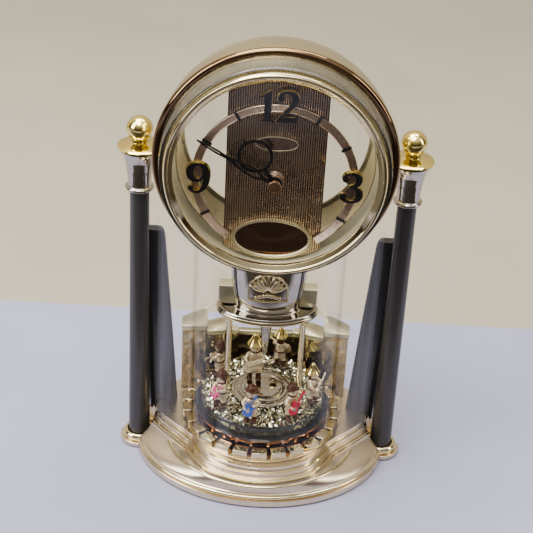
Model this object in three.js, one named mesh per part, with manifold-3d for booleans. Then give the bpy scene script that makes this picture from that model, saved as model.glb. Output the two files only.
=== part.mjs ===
// Anniversary clock: a round see-through head between two columns, with a
// turntable of small musicians hanging under it in place of a pendulum.
// Millimetres, +Z up, the dial faces -Y, the origin is the middle of the underside.
import * as THREE from 'three';
import * as BufferGeometryUtils from 'three/addons/utils/BufferGeometryUtils.js';
import Module from 'manifold-3d';

const wasm = await Module();
wasm.setup();

// ---- driving dimensions -------------------------------------------------
const GAP = 0.3;                 // room left between pieces that touch
const COLUMN_X = 85;             // column axes from the middle
const BASE_A = 86;               // half width of the oval plinth
const BASE_B = 69.5;             // half depth of the oval plinth
const SHELL_BOTTOM = 1;
const PLINTH_TOP = 9.5;
const DECK_TOP = 20;             // where the clear cover stands
const FLOOR_TOP = 26.4;          // raised floor under the turntable
const HEAD_Z = 240;              // centre of the round head
const DIAL_Z = 233;              // hand axis
const BEZEL_R = 74.4;
const SIGHT_R = 60.5;            // inside of the front gold ring
const FRONT_RING_Y = -50;
const PANEL_Y = -42.5;           // front face of the ribbed dial panel
const DISC_TOP = 46.4;           // top of the crushed-crystal turntable
const DISC_R = 42.4;
const ROD_X = 24.6;
const CANOPY_Z = 112;            // underside of the canopy

const COLORS = {
  gold: 0xc9b48a,
  brightGold: 0xd8b24a,
  darkGold: 0x5e4632,
  chrome: 0xb8b4b0,
  smoke: 0x4a4748,
  clear: 0xe8eef0,
  black: 0x151312,
  bronze: 0x6b5140,
  copper: 0xb97a4a,
  pink: 0xe0447a,
  blue: 0x3f5fae,
  red: 0xb0202c,
  plastic: 0x2b2b2e,
  felt: 0x1d1d1f,
};

const clock = new THREE.Group();

// ---- general helpers -----------------------------------------------------
function toManifold(geometry) {
  const plain = new THREE.BufferGeometry();
  plain.setAttribute('position', geometry.getAttribute('position').clone());
  if (geometry.index) {
    plain.setIndex(geometry.index.clone());
  }
  const merged = BufferGeometryUtils.mergeVertices(plain, 1e-4);
  const mesh = new wasm.Mesh({
    numProp: 3,
    vertProperties: new Float32Array(merged.getAttribute('position').array),
    triVerts: new Uint32Array(merged.index.array),
  });
  return new wasm.Manifold(mesh);
}

function fromManifold(solid) {
  const mesh = solid.getMesh();
  const geometry = new THREE.BufferGeometry();
  geometry.setAttribute('position', new THREE.Float32BufferAttribute(mesh.vertProperties, 3));
  geometry.setIndex(Array.from(mesh.triVerts));
  geometry.computeVertexNormals();
  return geometry;
}

function join(geometries) {
  return fromManifold(geometries.map(toManifold).reduce((a, b) => a.add(b)));
}

function cut(body, tools) {
  return fromManifold(tools.map(toManifold).reduce((a, b) => a.subtract(b), toManifold(body)));
}

function common(a, b) {
  return fromManifold(toManifold(a).intersect(toManifold(b)));
}

function addPart(name, geometry, color, roughness, metalness, opacity = 1) {
  const material = new THREE.MeshStandardMaterial({ color, roughness, metalness });
  if (opacity < 1) {
    material.transparent = true;
    material.opacity = opacity;
  }
  const mesh = new THREE.Mesh(geometry, material);
  mesh.name = name;
  clock.add(mesh);
  return mesh;
}

// A turned solid faces outwards when its profile runs up the outer side.
function latheFrom(profile, segments) {
  let area = 0;
  profile.forEach(([r0, h0], i) => {
    const [r1, h1] = profile[(i + 1) % profile.length];
    area += r0 * h1 - r1 * h0;
  });
  const ordered = area > 0 ? profile : [...profile].reverse();
  return new THREE.LatheGeometry(ordered.map(([r, h]) => new THREE.Vector2(r, h)), segments);
}

// A profile of [radius, height] pairs turned about +Z.
function turned(profile, segments) {
  const geometry = latheFrom(profile, segments);
  geometry.rotateX(Math.PI / 2);
  return geometry;
}

// A ring profile closes on itself.
function turnedRing(profile, segments) {
  return turned([...profile, profile[0]], segments);
}

// A [radius, y] profile turned about the line through the head centre along Y.
function turnedOnHead(profile, segments, z = HEAD_Z) {
  const geometry = latheFrom([...profile, profile[0]], segments);
  geometry.translate(0, 0, z);
  return geometry;
}

function box(x0, x1, y0, y1, z0, z1) {
  const geometry = new THREE.BoxGeometry(x1 - x0, y1 - y0, z1 - z0);
  geometry.translate((x0 + x1) / 2, (y0 + y1) / 2, (z0 + z1) / 2);
  return geometry;
}

function cylinderZ(x, y, radius, z0, z1, segments = 24) {
  const geometry = new THREE.CylinderGeometry(radius, radius, z1 - z0, segments);
  geometry.rotateX(Math.PI / 2);
  geometry.translate(x, y, (z0 + z1) / 2);
  return geometry;
}

function cylinderY(x, z, radius, y0, y1, segments = 24) {
  const geometry = new THREE.CylinderGeometry(radius, radius, y1 - y0, segments);
  geometry.translate(x, (y0 + y1) / 2, z);
  return geometry;
}

// A flat outline in X and Z, given thickness from y0 to y1.
function plateXZ(shape, y0, y1, curveSegments = 12) {
  const geometry = new THREE.ExtrudeGeometry(shape, {
    depth: y1 - y0,
    bevelEnabled: false,
    curveSegments,
  });
  geometry.rotateX(Math.PI / 2);
  geometry.translate(0, y1, 0);
  return geometry;
}

// A flat outline in X and Y, given thickness from z0 to z1.
function slabXY(shape, z0, z1, curveSegments = 12) {
  const geometry = new THREE.ExtrudeGeometry(shape, {
    depth: z1 - z0,
    bevelEnabled: false,
    curveSegments,
  });
  geometry.translate(0, 0, z0);
  return geometry;
}

function circleShape(x, y, radius) {
  const shape = new THREE.Shape();
  shape.absarc(x, y, radius, 0, 2 * Math.PI, false);
  return shape;
}

function ellipseShape(x, y, a, b) {
  const shape = new THREE.Shape();
  shape.absellipse(x, y, a, b, 0, 2 * Math.PI, false);
  return shape;
}

// Stacked outlines with the same number of points become one closed solid.
function lofted(rings) {
  const count = rings[0].length;
  const positions = [];
  for (const ring of rings) {
    for (const [x, y, z] of ring) {
      positions.push(x, y, z);
    }
  }
  const bottom = positions.length / 3;
  positions.push(0, 0, rings[0][0][2]);
  const top = bottom + 1;
  positions.push(0, 0, rings[rings.length - 1][0][2]);
  const faces = [];
  for (let level = 0; level < rings.length - 1; level += 1) {
    for (let i = 0; i < count; i += 1) {
      const next = (i + 1) % count;
      const a = level * count + i;
      const b = level * count + next;
      const c = a + count;
      const d = b + count;
      faces.push(a, b, d, a, d, c);
    }
  }
  const last = (rings.length - 1) * count;
  for (let i = 0; i < count; i += 1) {
    const next = (i + 1) % count;
    faces.push(bottom, next, i);
    faces.push(top, last + i, last + next);
  }
  const geometry = new THREE.BufferGeometry();
  geometry.setAttribute('position', new THREE.Float32BufferAttribute(positions, 3));
  geometry.setIndex(faces);
  geometry.computeVertexNormals();
  return geometry;
}

// ---- base ------------------------------------------------------------------
// Distance of the deck edge from the middle, by angle away from straight front.
const DECK_TURNS = [[0, 66], [34, 65.6], [47, 62], [55, 59.5], [67, 63], [78, 69.5], [90, 79.5]];

function deckRadius(angleFromFront) {
  const a = Math.abs(angleFromFront);
  if (a > 90) {
    const t = ((180 - a) * Math.PI) / 180;
    return 1 / Math.hypot(Math.sin(t) / 79.5, Math.cos(t) / 66);
  }
  for (let i = 0; i < DECK_TURNS.length - 1; i += 1) {
    const [a0, r0] = DECK_TURNS[i];
    const [a1, r1] = DECK_TURNS[i + 1];
    if (a <= a1) {
      return r0 + ((r1 - r0) * (a - a0)) / (a1 - a0);
    }
  }
  return 79.5;
}

const BASE_SIDES = 48;
const PLATE_A = 69;
const PLATE_B = 64;

function ovalRing(a, b, z) {
  const ring = [];
  for (let i = 0; i < BASE_SIDES; i += 1) {
    const t = (2 * Math.PI * i) / BASE_SIDES;
    ring.push([a * Math.cos(t), b * Math.sin(t), z]);
  }
  return ring;
}

function deckRing(inset, z) {
  const ring = [];
  for (let i = 0; i < BASE_SIDES; i += 1) {
    const t = (2 * Math.PI * i) / BASE_SIDES;
    let angle = (t * 180) / Math.PI + 90;
    if (angle > 180) {
      angle -= 360;
    }
    const r = deckRadius(angle) - inset;
    ring.push([r * Math.cos(t), r * Math.sin(t), z]);
  }
  return ring;
}

function baseShell() {
  const outside = lofted([
    ovalRing(BASE_A, BASE_B, SHELL_BOTTOM),
    ovalRing(BASE_A, BASE_B, 6.3),
    ovalRing(BASE_A - 1.4, BASE_B - 1.4, 7),
    ovalRing(BASE_A - 0.6, BASE_B - 0.5, 8),
    ovalRing(BASE_A - 1.6, BASE_B - 1.3, PLINTH_TOP),
    ovalRing(BASE_A - 3.5, BASE_B - 2.6, 10.2),
    deckRing(-1.6, 15),
    deckRing(-0.6, DECK_TOP - 1),
    deckRing(0.4, DECK_TOP),
    deckRing(2.6, DECK_TOP),
    deckRing(3.4, 23.2),
    deckRing(5.6, 23.2),
    deckRing(6.2, FLOOR_TOP),
  ]);
  const lobes = [-1, 1].map((side) => cylinderZ(side * COLUMN_X, 0, 13, SHELL_BOTTOM, 3.5, 32));
  const notches = [-1, 1].map((side) => cylinderZ(side * COLUMN_X, 0, 11.5, 3.5, 40, 32));
  const hollow = lofted([
    ovalRing(PLATE_A + GAP, PLATE_B + GAP, -1),
    ovalRing(PLATE_A + GAP, PLATE_B + GAP, 3.2),
    ovalRing(PLATE_A - 3, PLATE_B - 3, 3.2),
    ovalRing(PLATE_A - 9, PLATE_B - 10, 21),
  ]);
  const body = cut(cut(outside, notches), [hollow]);
  return join([body, ...lobes]);
}

addPart('base_shell', baseShell(), COLORS.gold, 0.25, 1);
addPart('base_plate', slabXY(ellipseShape(0, 0, PLATE_A - 0.2, PLATE_B - 0.2), 0.9, 2.9, 16), COLORS.plastic, 0.7, 0);
addPart('base_pad', slabXY(ellipseShape(0, 0, 66, 58), 0, 0.6, 16), COLORS.felt, 0.95, 0);

function blockRing() {
  const blocks = 26;
  const ring = turnedRing([[48, 26.7], [53.6, 26.7], [53.6, 29.5], [48, 29.5]], 52);
  const pieces = [ring];
  for (let i = 0; i < blocks; i += 1) {
    const block = box(-4.9, 4.9, -3.2, 3.2, 29, 34);
    block.translate(0, -51, 0);
    block.rotateZ((2 * Math.PI * i) / blocks);
    pieces.push(block);
  }
  return join(pieces);
}

addPart('block_ring', blockRing(), COLORS.brightGold, 0.2, 1);

// A low gallery behind the turntable, tallest at its two ends and lowest in the middle.
function gallery() {
  const z0 = FLOOR_TOP + GAP;
  const pieces = [];
  for (const side of [-1, 1]) {
    const end = box(-8.8, 8.8, -11, 11, z0, 80);
    end.rotateZ(side * -0.05);
    end.translate(side * 49.8, 35.4, 0);
    const step = box(-7.2, 7.2, -8, 10, z0, 69);
    step.rotateZ(side * -0.12);
    step.translate(side * 35, 44, 0);
    const low = box(-6, 6, -3.2, 3.2, z0, 62);
    low.rotateZ(side * -0.3);
    low.translate(side * 25.6, 51.6, 0);
    pieces.push(end, step, low);
  }
  pieces.push(box(-24, 24, 53.4, 57.6, z0, 59));
  const edge = lofted([deckRing(7, 20), deckRing(7, 90)]);
  const ringRoom = cylinderZ(0, 0, 55.4, 20, 34.6, 48);
  const turntableRoom = cylinderZ(0, 0, 48.6, 34, 90, 48);
  return cut(common(join(pieces), edge), [ringRoom, turntableRoom]);
}

addPart('gallery', gallery(), COLORS.brightGold, 0.25, 1);

// ---- columns -----------------------------------------------------------------
for (const [side, word] of [[-1, 'left'], [1, 'right']]) {
  const x = side * COLUMN_X;
  const shaft = turned([[0, 3.8], [7.4, 3.8], [7.2, 30], [6.2, 199], [0, 199]], 24);
  const foot = turnedRing([[7.9, 3.8], [10.4, 3.8], [11.1, 5.6], [10.6, 7.6], [9, 8.6], [7.9, 8.6]], 24);
  const capital = turned([
    [0, 199.3], [7.6, 199.3], [9.1, 200.2], [9.1, 201.6], [7.4, 202.8], [7.5, 208],
    [8.6, 217], [10.4, 224], [12.6, 228], [0, 228],
  ], 24);
  const finial = turned([
    [0, 228.3], [13.2, 228.3], [13.9, 229.4], [13, 231], [7, 232.2], [4.6, 233], [5.2, 233.8],
    [4, 234.6], [6.2, 236.2], [7.6, 238.6], [8.1, 241.4], [7.6, 244.2], [6.1, 246.9],
    [3.6, 248.8], [0, 249.5],
  ], 20);
  for (const piece of [shaft, foot, capital, finial]) {
    piece.translate(x, 0, 0);
  }
  addPart(`column_${word}`, shaft, COLORS.smoke, 0.35, 0.3);
  addPart(`foot_ring_${word}`, foot, COLORS.gold, 0.2, 1);
  addPart(`capital_${word}`, capital, COLORS.chrome, 0.08, 1);
  addPart(`finial_${word}`, finial, COLORS.brightGold, 0.1, 1);
}

// Smoke-coloured inner posts just behind the columns, wider at the foot, leaning outwards.
function innerPost(side) {
  const rings = [];
  const front = 8.6;
  const back = 15.6;
  for (const [z, x, half] of [[DECK_TOP + GAP, 68.8, 9.9], [90, 73, 9.2], [164, 77.6, 8.2]]) {
    rings.push([
      [x - half, front, z], [x + half, front, z], [x + half, back, z], [x - half, back, z],
    ]);
  }
  const post = new THREE.BufferGeometry();
  const positions = rings.flat(2);
  const faces = [0, 2, 1, 0, 3, 2, 8, 9, 10, 8, 10, 11];
  for (let level = 0; level < 2; level += 1) {
    for (let i = 0; i < 4; i += 1) {
      const a = level * 4 + i;
      const b = level * 4 + ((i + 1) % 4);
      faces.push(a, b, b + 4, a, b + 4, a + 4);
    }
  }
  post.setAttribute('position', new THREE.Float32BufferAttribute(positions, 3));
  post.setIndex(faces);
  post.computeVertexNormals();
  const deckRoom = lofted([deckRing(-3, 10), deckRing(2.2, 20.2), deckRing(3, 23.5),
    deckRing(5.2, 23.6), deckRing(5.8, FLOOR_TOP + GAP)]);
  const standing = cut(post, [deckRoom]);
  if (side < 0) {
    standing.scale(-1, 1, 1);
    const index = Array.from(standing.index.array);
    for (let i = 0; i < index.length; i += 3) {
      [index[i + 1], index[i + 2]] = [index[i + 2], index[i + 1]];
    }
    standing.setIndex(index);
  }
  return standing;
}

addPart('inner_post_left', innerPost(-1), COLORS.smoke, 0.3, 0.2);
addPart('inner_post_right', innerPost(1), COLORS.smoke, 0.3, 0.2);

// The clear bow-fronted cover: a thin wall that follows the deck edge.
function frontCover() {
  const wall = 1.6;
  const reach = 84;
  const steps = 42;
  const outer = [];
  const inner = [];
  for (let i = 0; i <= steps; i += 1) {
    const angle = -reach + (2 * reach * i) / steps;
    const t = ((angle - 90) * Math.PI) / 180;
    const r = deckRadius(angle) - 0.5;
    outer.push([r * Math.cos(t), r * Math.sin(t)]);
    inner.push([(r - wall) * Math.cos(t), (r - wall) * Math.sin(t)]);
  }
  const shape = new THREE.Shape();
  outer.forEach(([x, y], i) => (i ? shape.lineTo(x, y) : shape.moveTo(x, y)));
  inner.reverse().forEach(([x, y]) => shape.lineTo(x, y));
  shape.closePath();
  const wallBody = slabXY(shape, DECK_TOP + GAP, 182);
  const headRoom = cylinderY(0, HEAD_Z, 69, -90, -30, 64);
  const bezelRoom = cylinderY(0, HEAD_Z, BEZEL_R + 0.6, -41, 20, 64);
  return cut(wallBody, [headRoom, bezelRoom]);
}

addPart('front_cover', frontCover(), COLORS.clear, 0.05, 0, 0.25);

// The clear back cover: upright behind the turntable, then curving up to the head.
function rearPanel() {
  const wall = 1.8;
  const foot = 82;
  const side = new THREE.Shape();
  side.moveTo(46, foot);
  side.lineTo(46, 140);
  side.quadraticCurveTo(45, 172, 9.2, 181);
  side.lineTo(9.2, 181 + wall);
  side.quadraticCurveTo(46.8, 174, 46 + wall, 140);
  side.lineTo(46 + wall, foot);
  side.closePath();
  const half = 66;
  const sheet = new THREE.ExtrudeGeometry(side, {
    depth: 2 * half,
    bevelEnabled: false,
    curveSegments: 8,
  });
  sheet.rotateX(Math.PI / 2);
  sheet.rotateZ(Math.PI / 2);
  sheet.translate(-half, 0, 0);
  const corner = 9;
  const outline = new THREE.Shape();
  outline.moveTo(-half + corner, foot);
  outline.lineTo(half - corner, foot);
  outline.absarc(half - corner, foot + corner, corner, -Math.PI / 2, 0, false);
  outline.lineTo(half, 200);
  outline.lineTo(-half, 200);
  outline.absarc(-half + corner, foot + corner, corner, Math.PI, 1.5 * Math.PI, false);
  return common(sheet, plateXZ(outline, 0, 60, 5));
}

addPart('rear_panel', rearPanel(), COLORS.clear, 0.05, 0, 0.25);

// ---- head ----------------------------------------------------------------------
addPart('head_drum', turnedOnHead([
  [59.5, -33], [72.6, -33], [73.2, -31], [72.4, -20], [69.6, -8], [66, 1], [62, 7], [59.8, 8.4],
  [57.6, 8], [57.6, 6.6], [60, 5], [66.6, -9], [70, -30.4], [59.5, -30.4],
], 44), COLORS.gold, 0.35, 1);
addPart('bezel_outer', turnedOnHead([
  [69.8, -33.4], [73.4, -33.4], [BEZEL_R, -35], [73.6, -37], [71.6, -38], [69.8, -37.4],
], 48), COLORS.bronze, 0.12, 1);
addPart('head_glass', turnedOnHead([
  [69.3, -37.9], [70.9, -38.4], [68.6, -51.5], [67, -51.5],
], 44), COLORS.clear, 0.05, 0, 0.25);
addPart('bezel_inner', turnedOnHead([
  [SIGHT_R, FRONT_RING_Y - 3.4], [62.6, -55.2], [65.2, -54.6], [66.6, -52], [66.2, -48.4],
  [64.6, -47], [62.8, -47], [62.6, -50], [SIGHT_R, -50.6],
], 48), COLORS.brightGold, 0.1, 1);
addPart('front_crystal', turned([
  [0, 0], [60.2, 0], [60.2, 1.4], [40, 1.9], [20, 2.2], [0, 2.3],
], 48).rotateX(Math.PI / 2).translate(0, -52.8, HEAD_Z), COLORS.clear, 0.03, 0, 0.2);
addPart('tunnel_wall', turnedOnHead([
  [62.4, -46.6], [64.4, -46.6], [64.2, -40], [62, -33.4], [60, -33.4], [60.4, -34.6], [62.2, -40],
], 40), COLORS.gold, 0.2, 1);
addPart('rear_glass', cylinderY(0, HEAD_Z, 57.2, 5, 6.2, 48), COLORS.clear, 0.05, 0, 0.2);

// ---- dial ----------------------------------------------------------------------
function dialPanel() {
  const half = 29.5;
  const outline = new THREE.Shape();
  outline.moveTo(-half, -62);
  outline.lineTo(half, -62);
  outline.lineTo(half, 62);
  outline.lineTo(-half, 62);
  outline.closePath();
  const slab = plateXZ(outline, PANEL_Y, PANEL_Y + 2.5);
  slab.translate(0, 0, HEAD_Z);
  const round = cylinderY(0, HEAD_Z, 61.4, -60, -20, 56);
  const arborHole = cylinderY(0, DIAL_Z, 3.2, -60, -20, 20);
  const window = plateXZ(ellipseShape(0, 193, 22.8, 12.2), -60, -20);
  return cut(common(slab, round), [arborHole, window]);
}

addPart('dial_panel', dialPanel(), COLORS.bronze, 0.3, 0.9);

// The thin chapter ring is cut away under the oval window.
const RING_R = 47.4;

function chapterRing() {
  const ring = new THREE.Shape();
  const start = (-56 * Math.PI) / 180;
  const end = (236 * Math.PI) / 180;
  ring.absarc(0, DIAL_Z, RING_R + 2.4, start, end, false);
  ring.absarc(0, DIAL_Z, RING_R - 2.4, end, start, true);
  ring.closePath();
  return plateXZ(ring, PANEL_Y - 2.1, PANEL_Y - GAP, 28);
}

addPart('chapter_ring', chapterRing(), COLORS.bronze, 0.3, 0.9);

function numeralOne() {
  const s = new THREE.Shape();
  s.moveTo(-4.2, -9.6);
  s.lineTo(4.2, -9.6);
  s.lineTo(4.2, -8.2);
  s.lineTo(2.2, -7.6);
  s.lineTo(2.2, 9.8);
  s.lineTo(0.6, 9.8);
  s.lineTo(-4.6, 6.6);
  s.lineTo(-4.2, 5.4);
  s.lineTo(-2, 5.8);
  s.lineTo(-2, -7.6);
  s.lineTo(-4.2, -8.2);
  s.closePath();
  return s;
}

function numeralTwo() {
  const s = new THREE.Shape();
  s.moveTo(-5.8, -9.6);
  s.lineTo(6, -9.6);
  s.lineTo(6.6, -4.6);
  s.lineTo(5.4, -4.8);
  s.lineTo(4.4, -6.6);
  s.lineTo(-1.6, -6.6);
  s.lineTo(4.6, 0.4);
  s.quadraticCurveTo(7.2, 4.2, 5, 7.6);
  s.quadraticCurveTo(2.6, 10.4, -1.2, 9.6);
  s.quadraticCurveTo(-5.4, 8.6, -6, 4.6);
  s.lineTo(-2.6, 3.6);
  s.quadraticCurveTo(-2, 7.6, 0.4, 7.8);
  s.quadraticCurveTo(3.4, 6.4, 1.6, 1.8);
  s.closePath();
  return s;
}

function numeralThree() {
  const s = new THREE.Shape();
  s.moveTo(-6.4, -5.4);
  s.quadraticCurveTo(-6, -10.4, 0.4, -10.2);
  s.quadraticCurveTo(7, -9.8, 7.2, -4.4);
  s.quadraticCurveTo(7, -0.8, 3.6, 0.4);
  s.quadraticCurveTo(6.4, 1.8, 6.2, 5.2);
  s.quadraticCurveTo(5.6, 10.2, 0.2, 10.2);
  s.quadraticCurveTo(-5, 10, -5.4, 5.6);
  s.lineTo(-2.6, 4.4);
  s.quadraticCurveTo(-2, 7.6, 0, 7.6);
  s.quadraticCurveTo(2.6, 7, 2.6, 4.8);
  s.quadraticCurveTo(2.4, 1.8, -1.4, 1.4);
  s.lineTo(-1.4, -0.6);
  s.quadraticCurveTo(3, -0.8, 3.2, -4.2);
  s.quadraticCurveTo(3, -7.4, 0, -7.6);
  s.quadraticCurveTo(-2.4, -7.4, -3, -4.4);
  s.closePath();
  return s;
}

function numeralNine() {
  const s = new THREE.Shape();
  s.moveTo(-5.2, -7.2);
  s.quadraticCurveTo(-3.4, -10.6, 0.6, -10);
  s.quadraticCurveTo(7, -8.4, 7.2, 2.2);
  s.quadraticCurveTo(6.8, 10.2, 0, 10.2);
  s.quadraticCurveTo(-6.8, 9.6, -6.8, 3.6);
  s.quadraticCurveTo(-6.4, -2.2, -0.8, -2.4);
  s.quadraticCurveTo(1.8, -2.2, 3, -0.8);
  s.quadraticCurveTo(2.4, -7.4, -0.6, -8);
  s.quadraticCurveTo(-2.4, -8.2, -3.6, -6);
  s.closePath();
  const hole = new THREE.Path();
  hole.absellipse(0, 4, 2.8, 4, 0, 2 * Math.PI, true);
  s.holes.push(hole);
  return s;
}

const NUMERAL_FRONT = PANEL_Y - 4.4;
const NUMERAL_BACK = PANEL_Y - 2.4;
const NUMERALS = [
  ['numeral_12_one', numeralOne(), -6.4, DIAL_Z + 49.5],
  ['numeral_12_two', numeralTwo(), 5, DIAL_Z + 49.5],
  ['numeral_3', numeralThree(), 45.5, DIAL_Z - 0.6],
  ['numeral_9', numeralNine(), -45.8, DIAL_Z + 0.4],
];
for (const [name, shape, x, z] of NUMERALS) {
  const numeral = plateXZ(shape, NUMERAL_FRONT, NUMERAL_BACK, 6);
  numeral.translate(x, 0, z);
  addPart(name, numeral, COLORS.black, 0.3, 0.2);
}

addPart('badge', plateXZ(ellipseShape(0, DIAL_Z + 24, 13, 5), PANEL_Y - 1.1, PANEL_Y - GAP, 16),
  COLORS.bronze, 0.3, 0.9);

function ellipseRing(cx, cz, a, b, width, y0, y1) {
  const shape = ellipseShape(cx, cz, a, b);
  const hole = new THREE.Path();
  hole.absellipse(cx, cz, a - width, b - width, 0, 2 * Math.PI, true);
  shape.holes.push(hole);
  return plateXZ(shape, y0, y1, 24);
}

addPart('oval_frame', ellipseRing(0, 193, 24.6, 13.8, 2.2, PANEL_Y - 2.2, PANEL_Y - GAP),
  COLORS.gold, 0.2, 1);
addPart('oval_mirror', plateXZ(ellipseShape(0, 193, 22, 11.2), PANEL_Y - 1, PANEL_Y + 0.6, 20),
  COLORS.darkGold, 0.05, 1);

// ---- movement --------------------------------------------------------------------
const CASE_FRONT = PANEL_Y + 2.8;
const CASE_BACK = CASE_FRONT + 24;
const WHEEL_GAP = 12;             // arbor to intermediate wheel

function gear(teeth, pitchRadius, x, z, y0, y1) {
  const shape = new THREE.Shape();
  const tip = pitchRadius - 0.1;
  const root = pitchRadius - 0.9;
  const corners = [[root, -0.25], [tip, 0.25]];
  for (let i = 0; i < teeth; i += 1) {
    const step = (2 * Math.PI) / teeth;
    for (const [r, part] of corners) {
      const t = (i + part) * step;
      const px = x + r * Math.cos(t);
      const pz = z + r * Math.sin(t);
      if (i === 0 && part < 0) {
        shape.moveTo(px, pz);
      } else {
        shape.lineTo(px, pz);
      }
    }
  }
  shape.closePath();
  return plateXZ(shape, y0, y1);
}

function movementCase() {
  const body = box(-27, 27, CASE_FRONT, CASE_BACK, 205, 262);
  const wheels = box(-24.5, 24.5, CASE_FRONT + 1.6, CASE_BACK - 1.8, 223, 259.5);
  const arborHole = cylinderY(0, DIAL_Z, 3.1, CASE_FRONT - 5, CASE_FRONT + 5, 20);
  const knobHole = cylinderY(WHEEL_GAP, DIAL_Z, 2, CASE_BACK - 6, CASE_BACK + 5, 16);
  const batteryBay = box(-26, 26, CASE_FRONT + 2, CASE_BACK + 5, 206.8, 221.9);
  return cut(body, [wheels, arborHole, knobHole, batteryBay]);
}

addPart('movement_case', movementCase(), COLORS.plastic, 0.6, 0);

const battery = join([
  new THREE.CylinderGeometry(7, 7, 48, 24),
  new THREE.CylinderGeometry(2.6, 2.6, 3, 16).translate(0, 25, 0),
]);
battery.rotateZ(-Math.PI / 2);
battery.translate(-1, CASE_FRONT + 10.4, 214.4);
addPart('battery', battery, COLORS.copper, 0.3, 0.8);

function batteryDoor() {
  const lid = box(-25.6, 25.6, CASE_BACK - 1.6, CASE_BACK - 0.1, 207.2, 221.5);
  const tab = box(-5, 5, CASE_BACK - 0.4, CASE_BACK + 1.6, 218.9, 221.3);
  return join([lid, tab]);
}

addPart('battery_door', batteryDoor(), COLORS.plastic, 0.6, 0);

const GEAR_Y = CASE_FRONT + 3;
const minuteArbor = join([
  cylinderY(0, DIAL_Z, 1.5, PANEL_Y - 8.4, GEAR_Y + 14, 16),
  gear(10, 3, 0, DIAL_Z, GEAR_Y + 6, GEAR_Y + 9),
]);
addPart('minute_arbor', minuteArbor, COLORS.gold, 0.3, 1);

const intermediate = join([
  cylinderY(WHEEL_GAP, DIAL_Z, 1.4, GEAR_Y - 1, CASE_BACK + 0.6, 16),
  gear(30, 9, WHEEL_GAP, DIAL_Z, GEAR_Y + 6, GEAR_Y + 9),
  gear(8, 2.4, WHEEL_GAP, DIAL_Z, GEAR_Y, GEAR_Y + 3),
]);
addPart('intermediate_wheel', intermediate, COLORS.gold, 0.3, 1);
addPart('setting_knob', gear(16, 6, WHEEL_GAP, DIAL_Z, CASE_BACK + 0.9, CASE_BACK + 5),
  COLORS.black, 0.5, 0);

const hourTube = cylinderY(0, DIAL_Z, 2.5, PANEL_Y - 6.2, GEAR_Y + 3, 20);
const hourWheel = cut(
  join([hourTube, gear(32, 9.6, 0, DIAL_Z, GEAR_Y, GEAR_Y + 3)]),
  [cylinderY(0, DIAL_Z, 1.9, PANEL_Y - 12, GEAR_Y + 12, 20)],
);
addPart('hour_wheel', hourWheel, COLORS.gold, 0.3, 1);

// ---- hands -----------------------------------------------------------------------
function discShape(z, radius) {
  return circleShape(0, z, radius);
}

// Drawn pointing up from the hand axis, then turned to the time shown.
function hourHand() {
  const y0 = PANEL_Y - 5.9;
  const y1 = PANEL_Y - 5.1;
  const solid = join([
    plateXZ(discShape(0, 4.4), y0, y1, 12),
    plateXZ(discShape(21.5, 10.6), y0, y1, 16),
    box(-1.5, 1.5, y0, y1, 2, 12),
    box(-0.9, 0.9, y0, y1, 31, 35),
  ]);
  return cut(solid, [
    plateXZ(discShape(0, 2.8), y0 - 2, y1 + 2, 12),
    plateXZ(discShape(21.5, 8.6), y0 - 2, y1 + 2, 16),
  ]);
}

function minuteHand() {
  const y0 = PANEL_Y - 7.5;
  const y1 = PANEL_Y - 6.7;
  const loop = new THREE.Shape();
  loop.moveTo(0, 6);
  loop.quadraticCurveTo(3.4, 12, 3.2, 16);
  loop.quadraticCurveTo(2.4, 26, 0, 34);
  loop.quadraticCurveTo(-2.4, 26, -3.2, 16);
  loop.quadraticCurveTo(-3.4, 12, 0, 6);
  const eye = new THREE.Shape();
  eye.moveTo(0, 10);
  eye.quadraticCurveTo(2, 13, 1.9, 16);
  eye.quadraticCurveTo(1.4, 22, 0, 27);
  eye.quadraticCurveTo(-1.4, 22, -1.9, 16);
  eye.quadraticCurveTo(-2, 13, 0, 10);
  const blade = new THREE.Shape();
  blade.moveTo(-1, 31);
  blade.lineTo(1, 31);
  blade.lineTo(1.3, 40);
  blade.lineTo(0.3, 54);
  blade.lineTo(-0.3, 54);
  blade.lineTo(-1.3, 40);
  blade.closePath();
  const solid = join([
    plateXZ(discShape(0, 3.6), y0, y1, 12),
    box(-1.1, 1.1, y0, y1, 1, 8),
    plateXZ(loop, y0, y1, 6),
    plateXZ(blade, y0, y1),
  ]);
  return cut(solid, [
    plateXZ(discShape(0, 1.8), y0 - 2, y1 + 2, 12),
    plateXZ(eye, y0 - 2, y1 + 2, 6),
  ]);
}

function setHand(name, geometry, clockDegrees) {
  geometry.rotateY((clockDegrees * Math.PI) / 180);
  geometry.translate(0, 0, DIAL_Z);
  addPart(name, geometry, COLORS.black, 0.3, 0.4);
}

setHand('hour_hand', hourHand(), 325);
setHand('minute_hand', minuteHand(), 300);
addPart('post_cap', cylinderY(0, DIAL_Z, 3.9, PANEL_Y - 9.9, PANEL_Y - 8.7, 24), COLORS.copper, 0.3, 1);

// ---- canopy under the head ---------------------------------------------------------
const CANOPY_TOP = 162;
const CANOPY_DEPTH = 0.62;       // the canopy is an oval: its depth as a share of its width
// Bell outline from the rim up, as [radius, height], grown by a margin where one is wanted.
function bellSide(margin) {
  return [[21.6, 117.6], [22.6, 123], [23.6, 129], [24.6, 138], [25.3, 150], [25.8, CANOPY_TOP]]
    .map(([r, z]) => [r + margin, z]);
}

function ovalPlan(geometry) {
  geometry.scale(1, CANOPY_DEPTH, 1);
  return geometry;
}

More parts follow.
